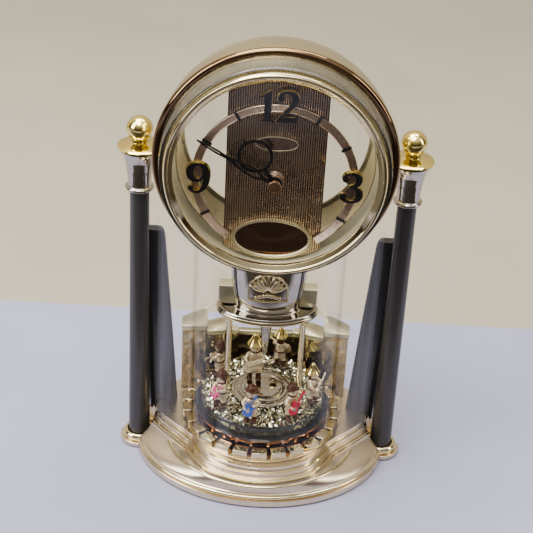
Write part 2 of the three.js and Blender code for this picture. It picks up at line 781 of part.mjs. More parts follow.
function canopy() {
  const body = ovalPlan(turned([
    [0, CANOPY_TOP], ...bellSide(0).reverse(), [32.4, 117.6], [33.4, 116.6], [33.4, 113.4],
    [31.6, CANOPY_Z], [17, CANOPY_Z], [17, 154], [0, 154],
  ], 32));
  const room = ovalPlan(cylinderZ(0, 0, 18, 110, 154, 32));
  const wings = [-1, 1].map((side) => {
    const shape = new THREE.Shape();
    shape.moveTo(side * 20, 117);
    shape.lineTo(side * 29.6, 117);
    shape.lineTo(side * 32.6, 120.4);
    shape.lineTo(side * 32.6, 131);
    shape.lineTo(side * 20, 131);
    shape.closePath();
    return cut(plateXZ(shape, -2, 7, 8), [room]);
  });
  return join([body, ...wings]);
}

addPart('canopy', canopy(), COLORS.chrome, 0.08, 1);

function crest() {
  const shape = new THREE.Shape();
  shape.moveTo(-13.5, 128);
  shape.lineTo(13.5, 128);
  shape.lineTo(13.5, 139);
  shape.absarc(0, 139, 13.5, 0, Math.PI, false);
  shape.closePath();
  return plateXZ(shape, -34, -21, 10);
}

const crestRoom = turned([[0, 117.6], ...bellSide(0.4), [0, CANOPY_TOP]], 40);
const crestSkin = turned([[0, 117.6], ...bellSide(2.4), [0, CANOPY_TOP]], 40);
addPart('crest', ovalPlan(cut(common(crest(), crestSkin), [crestRoom])), COLORS.gold, 0.2, 1);
addPart('pendulum_motor', ovalPlan(cylinderZ(0, 0, 14, 124, 153.6, 28)), COLORS.plastic, 0.6, 0);

// ---- hanging turntable ----------------------------------------------------------------
const HUB_TOP = CANOPY_Z - GAP;
const hubBar = common(turned([
  [0, 106], [27, 106], [28.4, 107.4], [28.4, 110.4], [27, HUB_TOP], [3, HUB_TOP], [2.4, 123.6],
  [0, 123.6],
], 40), box(-30, 30, -6, 6, 105, 125));
addPart('pendulum_hub', hubBar, COLORS.gold, 0.2, 1);
for (const [side, word] of [[-1, 'left'], [1, 'right']]) {
  addPart(`rod_${word}`, cylinderZ(side * ROD_X, 0, 2, DISC_TOP + GAP, 105.7, 16), COLORS.gold, 0.15, 1);
}
addPart('spindle', turned([
  [0, 74], [0.9, 75], [2.2, 84], [3.7, 98], [3.9, 105.7], [0, 105.7],
], 20), COLORS.chrome, 0.08, 1);
addPart('turntable_tray', turned([
  [0, 30.4], [40, 30.4], [46.2, 33], [46.2, 38.2], [0, 38.2],
], 24), COLORS.darkGold, 0.12, 1);
addPart('crystal_disc', turned([
  [0, 38.5], [DISC_R - 0.6, 38.5], [DISC_R, 39.1], [DISC_R, 45.8], [DISC_R - 0.6, DISC_TOP],
  [0, DISC_TOP],
], 40), COLORS.clear, 0.1, 0, 0.4);
addPart('center_stage', turned([
  [0, DISC_TOP + GAP], [21, DISC_TOP + GAP], [21, 48], [17, 48], [17, 49.2], [12, 49.2],
  [12, 50.4], [0, 50.4],
], 28), COLORS.gold, 0.15, 1);

// A limb from one point to another with round ends.
function limb(from, to, radius) {
  const a = new THREE.Vector3(...from);
  const b = new THREE.Vector3(...to);
  const axis = b.clone().sub(a);
  const geometry = new THREE.CapsuleGeometry(radius, axis.length(), 1, 6);
  const turn = new THREE.Quaternion().setFromUnitVectors(
    new THREE.Vector3(0, 1, 0),
    axis.clone().normalize(),
  );
  geometry.applyQuaternion(turn);
  const middle = a.clone().add(b).multiplyScalar(0.5);
  geometry.translate(middle.x, middle.y, middle.z);
  return geometry;
}

// One musician with an instrument, facing -Y, feet at z = 0.
function musician() {
  const feet = [-1, 1].map((side) => {
    const foot = new THREE.BoxGeometry(2.8, 5, 2.4);
    foot.translate(side * 2, -0.8, 1.2);
    return foot;
  });
  const legs = [-1, 1].map((side) => limb([side * 1.9, 0, 1.6], [side * 1.6, 0, 9], 1.3));
  const coat = turned([[0, 7.4], [3.7, 7.4], [3.2, 11], [3.4, 15.4], [2.2, 17.6], [0, 17.8]], 8);
  const arms = [
    limb([-3, 0, 15.6], [-4, -3.2, 12], 1.1),
    limb([3, 0, 15.6], [4.2, -3.2, 14], 1.1),
  ];
  const head = new THREE.SphereGeometry(2.8, 8, 6);
  head.translate(0, 0, 19.8);
  const hat = turned([[0, 21], [4, 21], [3.6, 22], [2.2, 22.6], [0.9, 27.4], [0, 28.4]], 8);
  const body = turned([[0, -0.8], [3.1, -0.8], [3.1, 0.8], [0, 0.8]], 10);
  body.rotateX(Math.PI / 2);
  body.scale(1, 1, 0.9);
  body.translate(-1.4, -3.9, 11.6);
  const neck = limb([0, -3.9, 12.4], [7.6, -3.9, 15.4], 0.65);
  return join([...feet, ...legs, coat, ...arms, head, hat, body, neck]);
}

const FIGURE_SCALE = 1.15;
// name, angle about the turntable, distance from its middle, colour
const RING_PLACES = [
  ['musician_pink', -142.6, 34.6, COLORS.pink],
  ['musician_blue', -101, 36.4, COLORS.blue],
  ['musician_red', -57.4, 36.8, COLORS.red],
  ['musician_gold', -18, 35, COLORS.brightGold],
  ['musician_rear', 70, 32.5, COLORS.brightGold],
  ['musician_side', 154, 34, COLORS.brightGold],
];
for (const [name, degrees, distance, color] of RING_PLACES) {
  const figure = musician();
  figure.scale(FIGURE_SCALE, FIGURE_SCALE, FIGURE_SCALE);
  figure.translate(0, -distance, 0);
  figure.rotateZ(((degrees + 90) * Math.PI) / 180);
  figure.translate(0, 0, DISC_TOP + GAP);
  addPart(name, figure, color, 0.2, 0.8);
}

const leader = musician();
const LEADER_SCALE = 1.35;
leader.scale(LEADER_SCALE, LEADER_SCALE, LEADER_SCALE);
leader.translate(-6.4, 7, 50.4 + GAP);
addPart('musician_center', leader, COLORS.brightGold, 0.2, 1);

export default clock;
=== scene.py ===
# Looks for the anniversary clock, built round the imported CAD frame.
# Sizes below are millimetres and are turned into metres by the mesh helpers.
import math
import random

import bmesh
import bpy
from mathutils import Matrix, Vector, noise


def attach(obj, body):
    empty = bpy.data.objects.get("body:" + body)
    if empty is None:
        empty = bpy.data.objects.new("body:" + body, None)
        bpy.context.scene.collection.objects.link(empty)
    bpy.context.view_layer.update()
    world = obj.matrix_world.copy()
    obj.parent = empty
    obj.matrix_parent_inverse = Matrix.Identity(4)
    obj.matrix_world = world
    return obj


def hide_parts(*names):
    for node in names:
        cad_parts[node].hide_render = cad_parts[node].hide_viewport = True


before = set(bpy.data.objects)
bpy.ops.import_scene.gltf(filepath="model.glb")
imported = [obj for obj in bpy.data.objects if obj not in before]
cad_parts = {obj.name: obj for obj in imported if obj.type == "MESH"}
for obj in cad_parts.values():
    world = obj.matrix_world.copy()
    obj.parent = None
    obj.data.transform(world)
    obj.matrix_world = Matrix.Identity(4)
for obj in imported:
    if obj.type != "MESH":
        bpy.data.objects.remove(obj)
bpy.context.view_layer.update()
MM = 0.001
random.seed(7)

COLUMN_X = 85.0                  # the columns stand this far left and right of the middle
BASE_A = 86.0                    # half width of the oval base
BASE_B = 69.5                    # half depth of the oval base
DECK_SIDE = 79.5                 # half width of the deck on the base
DECK_REAR = 66.0                 # half depth of the deck
HEAD_Z = 240.0                   # middle of the round head
DIAL_Z = 233.0                   # height of the hand axis, a little below the middle of the head
PANEL_Y = -42.5                  # front of the ribbed dial panel
DISC_TOP = 46.4                  # top of the clear disc that carries the musicians
FLOOR_TOP = 26.4                 # top of the deck
SIDES = ((-1, "left"), (1, "right"))
CANOPY_DEPTH = 0.62              # share of its width
RIB_PITCH = 46.0 / 34            # 34 ribs across the middle of the panel


def add_object(name, data):
    """A new object in the scene."""
    obj = bpy.data.objects.new(name, data)
    bpy.context.collection.objects.link(obj)
    return obj


def around(count):
    """Evenly spaced angles once round a circle, in radians."""
    return [2 * math.pi * i / count for i in range(count)]


# ---- camera, floor and light ----------------------------------------------
def make_camera():
    """The photographer's place, fitted to the outline of the clock in the picture."""
    pitch, yaw, roll = math.radians(31.4), math.radians(0.15), math.radians(3.23)
    forward = Vector((math.sin(yaw) * math.cos(pitch), math.cos(yaw) * math.cos(pitch), -math.sin(pitch)))
    level = Vector((math.cos(yaw), -math.sin(yaw), 0.0))
    upright = level.cross(forward)
    right = math.cos(roll) * level + math.sin(roll) * upright
    up = -math.sin(roll) * level + math.cos(roll) * upright
    data = bpy.data.cameras.new("camera")
    data.sensor_width = 36.0
    data.lens = 1400.0 * 36.0 / 533.0
    data.clip_end = 40.0
    cam = add_object("camera", data)
    turn = Matrix((right, up, -forward)).transposed().to_4x4()
    cam.matrix_world = Matrix.Translation((-0.004, -0.781, 0.623)) @ turn
    bpy.context.scene.camera = cam


def area_light(name, place, target, size, watts, color):
    data = bpy.data.lights.new(name, "AREA")
    data.shape = "RECTANGLE"
    data.size, data.size_y = size
    data.energy = watts
    data.color = color
    lamp = add_object(name, data)
    lamp.location = place
    lamp.rotation_euler = (Vector(target) - Vector(place)).to_track_quat("-Z", "Y").to_euler()
    lamp.visible_camera = False


def add_node(tree, kind, inputs=(), **settings):
    """A new shader node; an input is given either a plain value or a socket to link from."""
    node = tree.nodes.new("ShaderNode" + kind)
    for key, value in settings.items():
        setattr(node, key, value)
    for key, value in dict(inputs).items():
        if isinstance(value, bpy.types.NodeSocket):
            tree.links.new(value, node.inputs[key])
        else:
            node.inputs[key].default_value = value
    return node


def color_ramp(tree, factor, stops):
    """A colour ramp through (position, colour) stops."""
    node = add_node(tree, "ValToRGB", {0: factor})
    elements = node.color_ramp.elements
    for element, (position, color) in zip(elements, (stops[0], stops[-1])):
        element.position, element.color = position, (*color, 1)
    for position, color in stops[1:-1]:
        elements.new(position).color = (*color, 1)
    return node.outputs[0]


def make_world():
    """A dim brown room with a bright ceiling, for the plating to reflect."""
    world = bpy.data.worlds.new("room")
    bpy.context.scene.world = world
    world.use_nodes = True
    tree = world.node_tree
    tree.nodes.clear()
    coord = add_node(tree, "TexCoord")
    split = add_node(tree, "SeparateXYZ", {0: coord.outputs["Generated"]})
    height = add_node(tree, "Math", {0: split.outputs["Z"], 1: 0.5, 2: 0.5}, operation="MULTIPLY_ADD")
    stops = [(0.30, (0.02, 0.013, 0.010)), (0.52, (0.035, 0.024, 0.018)), (0.62, (0.16, 0.13, 0.11)),
             (0.74, (0.30, 0.28, 0.26)), (0.88, (0.80, 0.80, 0.79))]
    back = add_node(tree, "Background", {"Color": color_ramp(tree, height.outputs[0], stops)})
    add_node(tree, "OutputWorld", {0: back.outputs[0]})


def paint_over(mat, factor, color):
    """Mix a colour over the material's own paint, as far as the factor says."""
    shader = mat.node_tree.nodes["Principled BSDF"]
    paint = shader.inputs["Base Color"].links[0].from_socket
    mix = add_node(mat.node_tree, "Mix", data_type="RGBA")
    mix.inputs[7].default_value = (*color, 1)
    mat.node_tree.links.new(factor, mix.inputs[0])
    mat.node_tree.links.new(paint, mix.inputs[6])
    mat.node_tree.links.new(mix.outputs[2], shader.inputs["Base Color"])


def fade_forward(mat, near, far, dark):
    """Darken a band across the card, between two soft edges given in metres."""
    tree = mat.node_tree
    position = add_node(tree, "NewGeometry")
    split = add_node(tree, "SeparateXYZ", {0: position.outputs["Position"]})
    spans = []
    for start, end in (near, far):
        edges = {"Value": split.outputs["Y"], "From Min": start, "From Max": end}
        spans.append(add_node(tree, "MapRange", edges).outputs[0])
    band = add_node(tree, "Math", {0: spans[0], 1: spans[1]}, operation="SUBTRACT")
    paint_over(mat, band.outputs[0], dark)


def make_stage():
    """Plain pale paper to stand on, and two cards that only reflections see."""
    pale, back_edge = (0.42, 0.42, 0.54), 0.165
    floor_mat = plain_material("floor_paper", pale, 0.55, 0.02, 6.0)
    wall_mat = plain_material("backdrop_paper", (0.47, 0.42, 0.325), 0.8, 0.02, 6.0)
    card_mat = plain_material("card_paper", pale, 0.55, 0.02, 6.0)
    fade_forward(card_mat, (-0.105, -0.15), (-0.62, -0.95), (0.022, 0.016, 0.013))
    floor = quad("floor", [(-12, -12, 0), (12, -12, 0), (12, back_edge, 0), (-12, back_edge, 0)], floor_mat)
    wall = quad("backdrop", [(-12, back_edge, 0), (12, back_edge, 0), (12, 12, 0), (-12, 12, 0)], wall_mat)
    pane = quad("pale_card", [(-3, 0.42, 0.003), (3, 0.42, 0.003), (3, 0.42, 3), (-3, 0.42, 3)], wall_mat)
    ahead = [(-1.2, -1.1, 0.002), (1.2, -1.1, 0.002), (1.2, -0.1, 0.002), (-1.2, -0.1, 0.002)]
    card = quad("dark_card", ahead, card_mat)
    for reflector in (card, pane):
        reflector.visible_camera = False
        reflector.visible_diffuse = False
        reflector.visible_shadow = False


def quad(name, corners, material):
    mesh = bpy.data.meshes.new(name)
    mesh.from_pydata(corners, [], [(0, 1, 2, 3)])
    mesh.materials.append(material)
    return add_object(name, mesh)


# ---- materials --------------------------------------------------------------
def varied_material(name, color, rough, metallic, spread=0.06, scale=40.0, bump=0.02, fine=900.0):
    """A Principled material whose colour and roughness wander a little, with a fine bump."""
    mat = bpy.data.materials.new(name)
    mat.use_nodes = True
    tree = mat.node_tree
    shader = tree.nodes["Principled BSDF"]
    coord = add_node(tree, "TexCoord").outputs["Object"]
    cloud = add_node(tree, "TexNoise", {"Vector": coord, "Scale": scale, "Detail": 4.0}).outputs["Fac"]
    dark = [c * (1 - spread) for c in color]
    light = [min(1.0, c * (1 + spread)) for c in color]
    tree.links.new(color_ramp(tree, cloud, [(0.35, dark), (0.65, light)]), shader.inputs["Base Color"])
    wear = add_node(tree, "MapRange", {"Value": cloud, "From Min": 0.3, "From Max": 0.7,
                                       "To Min": rough * 0.85, "To Max": rough * 1.2})
    tree.links.new(wear.outputs[0], shader.inputs["Roughness"])
    if bump > 0:
        grain = add_node(tree, "TexNoise", {"Vector": coord, "Scale": fine})
        values = {"Height": grain.outputs["Fac"], "Strength": bump, "Distance": 0.0002}
        relief = add_node(tree, "Bump", values)
        tree.links.new(relief.outputs[0], shader.inputs["Normal"])
    shader.inputs["Metallic"].default_value = metallic
    return mat


def ribbed_material(name, color, rough, pitch):
    """Plate ribbed along X, with painted shade darkening the grooves between the crests."""
    mat = varied_material(name, color, rough, 1.0, 0.02, 60.0, 0.0)
    tree = mat.node_tree
    coord = add_node(tree, "TexCoord")
    bands = {"Vector": coord.outputs["Object"], "Scale": math.pi / 10 / (pitch * MM)}
    groove_shade = add_node(tree, "TexWave", bands, bands_direction="X")
    # painted shade: the grooves are darkened to a third of the plate colour
    paint_over(mat, groove_shade.outputs["Fac"], [c * 0.32 for c in color])
    return mat


def plain_material(name, color, rough, bump, scale):
    return varied_material(name, color, rough, 0.0, 0.03, scale, bump, 300.0)


def clear_material(name, color, veil, gain, streaks=0.0, falloff=4.5):
    """Clear plastic: light goes straight through, and shallow angles reflect more."""
    mat = varied_material(name, color, 0.04, 1.0, 0.02, 30.0, 0.0)
    tree = mat.node_tree
    view = add_node(tree, "LayerWeight")
    shine = add_node(tree, "Math", {0: view.outputs["Facing"], 1: falloff}, operation="POWER")
    cover = add_node(tree, "Math", {0: shine.outputs[0], 1: gain, 2: veil}, operation="MULTIPLY_ADD",
                     use_clamp=True)
    if streaks > 0:
        coord = add_node(tree, "TexCoord")
        stretch = add_node(tree, "Mapping", {"Vector": coord.outputs["Object"], "Scale": (1.0, 1.0, 0.05)})
        grain = add_node(tree, "TexNoise", {"Vector": stretch.outputs[0], "Scale": 130.0})
        band = add_node(tree, "MapRange", {"Value": grain.outputs["Fac"], "From Min": 0.45, "From Max": 0.75,
                                           "To Max": streaks})
        cover = add_node(tree, "Math", {0: band.outputs[0], 1: cover.outputs[0]}, operation="ADD",
                         use_clamp=True)
    tree.links.new(cover.outputs[0], tree.nodes["Principled BSDF"].inputs["Alpha"])
    return mat


# key: (name, colour, roughness, metallic, spread, cloud scale, bump, grain scale)
SURFACES = {
    "champagne": ("champagne_gold", (0.76, 0.64, 0.49), 0.27, 1.0, 0.03, 25.0, 0.01, 1400.0),
    "satin": ("satin_gold", (0.70, 0.63, 0.43), 0.26, 1.0, 0.04, 25.0, 0.03, 1400.0),
    "gold": ("mirror_gold", (0.80, 0.70, 0.45), 0.08, 1.0, 0.05, 40.0, 0.01, 700.0),
    "pale": ("pale_gold", (0.84, 0.80, 0.58), 0.32, 1.0, 0.05, 40.0, 0.02, 900.0),
    # the dark hammered gold is painted shade: gallery block sides are darker than their pale tops
    "painted_shade_gold": ("hammered_gold_painted_shade", (0.46, 0.37, 0.20), 0.16, 1.0, 0.25, 160.0, 0.15, 420.0),
    "yellow": ("yellow_gold", (0.88, 0.74, 0.32), 0.06, 1.0, 0.05, 60.0, 0.01, 700.0),
    "bronze": ("bronze_plate", (0.43, 0.325, 0.24), 0.24, 1.0, 0.02, 60.0, 0.0, 900.0),
    "ring": ("hour_ring_bronze", (0.66, 0.53, 0.42), 0.28, 1.0, 0.06, 60.0, 0.0, 900.0),
    "tunnel": ("tunnel_gold", (0.76, 0.73, 0.55), 0.42, 0.7, 0.04, 40.0, 0.01, 900.0),
    "bezel": ("bezel_bronze", (0.27, 0.18, 0.105), 0.06, 1.0, 0.10, 20.0, 0.01, 700.0),
    "chrome": ("mirror_chrome", (0.52, 0.48, 0.42), 0.04, 1.0, 0.03, 30.0, 0.01, 500.0),
    "smoke": ("smoke_satin", (0.078, 0.072, 0.070), 0.24, 0.3, 0.03, 9.0, 0.0, 1500.0),
    "tinted": ("smoke_inner", (0.066, 0.065, 0.068), 0.20, 0.3, 0.04, 9.0, 0.0, 900.0),
    "black": ("black_enamel", (0.012, 0.011, 0.011), 0.16, 0.0, 0.2, 80.0, 0.01, 900.0),
    "plastic": ("dark_plastic", (0.05, 0.05, 0.055), 0.5, 0.0, 0.1, 90.0, 0.1, 1800.0),
    "felt": ("felt_pad", (0.03, 0.03, 0.035), 0.95, 0.0, 0.3, 300.0, 0.6, 2500.0),
    "brass": ("turned_brass", (0.76, 0.58, 0.28), 0.25, 1.0, 0.06, 60.0, 0.03, 1200.0),
    "copper": ("copper_cap", (0.60, 0.38, 0.22), 0.24, 1.0, 0.08, 120.0, 0.03, 1500.0),
    "dark_mirror": ("dark_mirror", (0.30, 0.19, 0.13), 0.04, 1.0, 0.1, 30.0, 0.0),
    "facet": ("facet_mirror", (0.50, 0.27, 0.17), 0.02, 1.0, 0.1, 30.0, 0.0),
    "foil": ("crushed_foil", (0.84, 0.80, 0.66), 0.12, 1.0, 0.25, 500.0, 0.1, 900.0),
    "coat": ("antique_gold", (0.80, 0.68, 0.47), 0.30, 0.75, 0.12, 220.0, 0.05, 1500.0),
    "brown": ("brown_lacquer", (0.10, 0.042, 0.024), 0.16, 0.15, 0.10, 150.0, 0.02, 900.0),
    "pink": ("pink_enamel", (0.80, 0.08, 0.26), 0.14, 0.0, 0.05, 90.0, 0.01, 700.0),
    "blue": ("blue_enamel", (0.06, 0.13, 0.50), 0.14, 0.0, 0.05, 90.0, 0.01, 700.0),
    "red": ("red_enamel", (0.60, 0.01, 0.05), 0.14, 0.0, 0.05, 90.0, 0.01, 700.0),
}
# key: (name, colour, veil, gain, streaks)
CLEAR_SURFACES = {
    "clear": ("clear_plastic", (0.93, 0.92, 0.90), 0.018, 0.55, 0.05),
    "side": ("side_glass", (0.52, 0.52, 0.51), 0.42, 0.6, 0.30),
    "crystal": ("front_crystal", (0.95, 0.97, 0.98), 0.035, 0.7),
    "ice": ("disc_acrylic", (0.90, 0.90, 0.86), 0.08, 0.8),
}


def make_materials():
    materials = {key: varied_material(*values) for key, values in SURFACES.items()}
    materials.update({key: clear_material(*values) for key, values in CLEAR_SURFACES.items()})
    materials["ribbed"] = ribbed_material("ribbed_bronze", (0.78, 0.62, 0.48), 0.26, RIB_PITCH)
    return materials


# ---- mesh helpers --------------------------------------------------------------
def new_object(name, verts, faces, materials, sharp=38.0, smooth=True):
    mesh = bpy.data.meshes.new(name)
    mesh.from_pydata([Vector(v) * MM for v in verts], [], faces)
    mesh.validate()
    bm = bmesh.new()
    bm.from_mesh(mesh)
    bmesh.ops.remove_doubles(bm, verts=bm.verts, dist=1e-7)
    bmesh.ops.recalc_face_normals(bm, faces=bm.faces)
    bm.to_mesh(mesh)
    bm.free()
    if smooth:
        mesh.shade_smooth()
        mesh.set_sharp_from_angle(angle=math.radians(sharp))
    for material in materials if isinstance(materials, (list, tuple)) else [materials]:
        mesh.materials.append(material)
    return add_object(name, mesh)


def place(obj, body, nodes=(), slot=None):
    """The piece rides on a body and stands for CAD nodes; the slot is not used."""
    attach(obj, body)
    if nodes:
        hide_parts(*nodes)
    return obj


def rounded(profile, radius=0.4, steps=3, closed=False):
    """Rounds each corner of a [radius, height] outline with a small curve."""
    out = []
    count = len(profile)
    for i, point in enumerate(profile):
        here = Vector(point)
        if not closed and i in (0, count - 1):
            out.append(tuple(here))
            continue
        ends = []
        for other in (profile[i - 1], profile[(i + 1) % count]):
            away = Vector(other) - here
            ends.append(here + away.normalized() * min(radius, away.length * 0.45))
        for k in range(steps + 1):
            t = k / steps
            out.append(tuple(ends[0] * (1 - t) ** 2 + here * 2 * t * (1 - t) + ends[1] * t ** 2))
    return out


def turned(name, profile, material, centre=(0, 0, 0), axis="Z", sides=96, closed=False, sharp=38.0):
    """A [radius, height] outline turned about Z or about Y."""
    verts, faces, rows = [], [], []
    for r, h in profile:
        if r < 1e-4 and not closed:
            verts.append((0, 0, h))
            rows.append([len(verts) - 1] * sides)
            continue
        rows.append(range(len(verts), len(verts) + sides))
        verts += [(r * math.cos(t), r * math.sin(t), h) for t in around(sides)]
    for low, high in zip(rows, rows[1:] + ([rows[0]] if closed else [])):
        for i in range(sides):
            j = (i + 1) % sides
            corners = list(dict.fromkeys([low[i], low[j], high[j], high[i]]))
            if len(corners) > 2:
                faces.append(corners)
    if axis == "Y":
        verts = [(x, h, y) for x, y, h in verts]
    cx, cy, cz = centre
    verts = [(x + cx, y + cy, z + cz) for x, y, z in verts]
    return new_object(name, verts, faces, material, sharp)


def turned_soft(name, profile, material, soft=0.4, steps=3, **how):
    """An open outline with eased corners, turned."""
    return turned(name, rounded(profile, soft, steps), material, **how)


def turned_ring(name, profile, material, soft=0.4, steps=3, **how):
    """A closed outline with eased corners, turned into a ring."""
    return turned(name, rounded(profile, soft, steps, True), material, closed=True, **how)


def lofted(name, rings, material, sharp=30.0, closed=False):
    """A skin over outlines of equal point count, its ends capped unless it closes on itself."""
    count = len(rings[0])
    verts = [p for ring in rings for p in ring]
    faces = []
    for level in range(len(rings) if closed else len(rings) - 1):
        a = level * count
        b = (level + 1) % len(rings) * count
        for i in range(count):
            j = (i + 1) % count
            faces.append((a + i, a + j, b + j, b + i))
    if not closed:
        faces.append(tuple(reversed(range(count))))
        faces.append(tuple(range(len(verts) - count, len(verts))))
    return new_object(name, verts, faces, material, sharp)


def block(name, low, high, material, bevel=0.5, segments=3):
    (x0, y0, z0), (x1, y1, z1) = low, high
    verts = [(x, y, z) for x in (x0, x1) for y in (y0, y1) for z in (z0, z1)]
    faces = [(0, 1, 3, 2), (4, 6, 7, 5), (0, 4, 5, 1), (2, 3, 7, 6), (0, 2, 6, 4), (1, 5, 7, 3)]
    obj = new_object(name, verts, faces, material)
    add_bevel(obj, bevel, segments)
    return obj


def add_bevel(obj, width, segments=3, angle=30.0):
    mod = obj.modifiers.new("edges", "BEVEL")
    mod.width = width * MM
    mod.segments = segments
    mod.limit_method = "ANGLE"
    mod.angle_limit = math.radians(angle)


def joined(name, objects):
    """Applies modifiers and makes one object of several."""
    bpy.ops.object.select_all(action="DESELECT")
    for obj in objects:
        obj.select_set(True)
    bpy.context.view_layer.objects.active = objects[0]
    bpy.ops.object.convert(target="MESH")
    if len(objects) > 1:
        bpy.ops.object.join()
    result = bpy.context.view_layer.objects.active
    result.name = name
    result.data.name = name
    return result


def carve(name, pieces, tools):
    """Cut each piece with each (tool, action), join the pieces and drop the tools."""
    for piece in pieces:
        for tool, action in tools:
            mod = piece.modifiers.new("cut", "BOOLEAN")
            mod.object = tool
            mod.operation = action
            mod.solver = "EXACT"
    result = joined(name, pieces)
    for tool, _ in tools:
        bpy.data.objects.remove(tool)
    return result


def turn_about_z(obj, degrees):
    obj.data.transform(Matrix.Rotation(math.radians(degrees), 4, "Z"))


def move(obj, x, y, z):
    obj.data.transform(Matrix.Translation((x * MM, y * MM, z * MM)))


def swept(name, path, radius, material, sides=12):
    """A round bar along a path of points, with flat filled ends."""
    data = bpy.data.curves.new(name, "CURVE")
    data.dimensions = "3D"
    data.bevel_depth = radius * MM
    data.bevel_resolution = sides // 4
    data.use_fill_caps = True
    spline = data.splines.new("POLY")
    spline.points.add(len(path) - 1)
    for point, (x, y, z) in zip(spline.points, path):
        point.co = (x * MM, y * MM, z * MM, 1)
    data.materials.append(material)
    obj = joined(name, [add_object(name, data)])
    obj.data.shade_smooth()
    return obj


# ---- base ------------------------------------------------------------------------
# Reach of the front half of the deck at each turn from straight ahead, in degrees.
DECK_TURNS = [(0, 66), (34, 65.6), (47, 62), (55, 59.5), (67, 63), (78, 69.5), (90, DECK_SIDE)]
BASE_SIDES = 256
BRIGHT_BEADS = [(6.4, 9.0), (18.9, 20.25), (23.2, 23.7)]      # heights of the polished beads round the base


def between_marks(marks, at):
    """The value at a place along straight runs between (place, value) marks."""
    for (a0, r0), (a1, r1) in zip(marks, marks[1:]):
        if at <= a1:
            return r0 + (r1 - r0) * (at - a0) / (a1 - a0)
    return marks[-1][1]


def deck_radius(angle):
    """Reach of the deck: a waisted front half and an oval rear half."""
    a = abs(angle)
    if a > 90:
        t = math.radians(180 - a)
        return 1 / math.hypot(math.sin(t) / DECK_SIDE, math.cos(t) / DECK_REAR)
    return between_marks(DECK_TURNS, a)


def soft_deck_radius(angle):
    """The deck outline with its corners eased over a few degrees."""
    spread = 3.0
    offsets = (-spread, -spread / 2, 0.0, spread / 2, spread)
    total = 0.0
    for step in offsets:
        a = angle + step
        total += deck_radius(a if abs(a) <= 180 else a - math.copysign(360, a))
    return total / len(offsets)


def deck_ring(inset, z):
    ring = []
    for t in around(BASE_SIDES):
        angle = math.degrees(t) + 90
        if angle > 180:
            angle -= 360
        r = soft_deck_radius(angle) - inset
        ring.append((r * math.cos(t), r * math.sin(t), z))
    return ring


def oval_ring(a, b, z):
    return [(a * math.cos(t), b * math.sin(t), z) for t in around(BASE_SIDES)]


def bead_rings(inset, radius, z, ring_of):
    """Outlines over a half-round bead."""
    rings = []
    for k in range(9):
        t = -math.pi / 2 + math.pi * k / 8
        rings.append(ring_of(inset - radius * math.cos(t), z + radius * math.sin(t)))
    return rings


def make_base(m):
    def oval(inset, z):
        return oval_ring(BASE_A - inset, BASE_B - inset, z)

    rings = [oval(0.5, 1.0), oval(0, 1.4), oval(0, 5.4), oval(0.3, 5.8), oval(1.9, 6.0), oval(1.9, 6.4)]
    rings += bead_rings(1.7, 1.2, 7.7, oval)
    rings += [oval(2.0, 9.0), oval(2.2, 9.6), oval(3.0, 10.0)]
    for k in range(1, 8):
        t = k / 8
        outer, inner = oval(3.0, 10.0), deck_ring(-1.4, 17.4)
        blend = t ** 1.5
        height = 10.0 + 7.4 * t
        rings.append([(p[0] + (q[0] - p[0]) * blend, p[1] + (q[1] - p[1]) * blend, height)
                      for p, q in zip(outer, inner)])
    rings += [deck_ring(-1.4, 17.4), deck_ring(-1.2, 18.6), deck_ring(-1.0, 19.0)]
    rings += bead_rings(0.2, 0.7, 19.7, deck_ring)
    rings += [
        deck_ring(0.6, 20.2), deck_ring(2.5, 20.2), deck_ring(2.8, 20.4), deck_ring(3.2, 23.0),
        deck_ring(3.5, 23.3), deck_ring(5.6, 23.4), deck_ring(5.8, 23.6), deck_ring(6.0, 26.0),
        deck_ring(6.4, FLOOR_TOP),
    ]
    shell = lofted("base_body", rings, [m["champagne"], m["gold"]], 24.0)
    for face in shell.data.polygons:
        height = face.center.z / MM
        face.material_index = int(any(low < height < high for low, high in BRIGHT_BEADS))
    notch = [(0, 3.5), (11.4, 3.5), (11.4, 60), (0, 60)]
    cutters = []
    for side, _ in SIDES:
        cutters.append((turned("notch", notch, m["champagne"], (side * COLUMN_X, 0, 0)), "DIFFERENCE"))
    shell = carve("base_body", [shell], cutters)
    shell.data.shade_smooth()
    shell.data.set_sharp_from_angle(angle=math.radians(24))
    place(shell, "frame", ["base_shell"], "gold_plate")
    for side, word in SIDES:
        lobe = turned_soft(f"lobe_{word}", [(0, 1), (13, 1), (13, 3.7), (0, 3.7)], m["champagne"],
                           centre=(side * COLUMN_X, 0, 0))
        place(lobe, "frame", slot="gold_plate")
    path = []
    for i in range(97):
        t = math.radians(-90 - 69 + 138 * i / 96)
        r = 66.9 + 0.6 * math.cos(math.radians(138 * (i / 96 - 0.5)))
        path.append((r * math.cos(t), r * math.sin(t), 16.2))
    bead = swept("swag_bead", path, 1.15, m["gold"], 16)
    place(bead, "frame", slot="gold_plate")


def make_block_ring(m):
    footing = [(47.8, 26.6), (54, 26.6), (54, 29.2), (47.8, 29.2)]
    parts = [turned_ring("ring", footing, m["gold"], 0.3, 2, sides=128)]
    count = 26
    for i in range(count):
        brick = block("brick", (-5.0, -54.4, 28.6), (5.0, -47.8, 34.0), m["gold"], 0.35, 2)
        turn_about_z(brick, 360 * i / count)
        parts.append(brick)
    place(joined("block_circle", parts), "frame", ["block_ring"], "bright_gold")


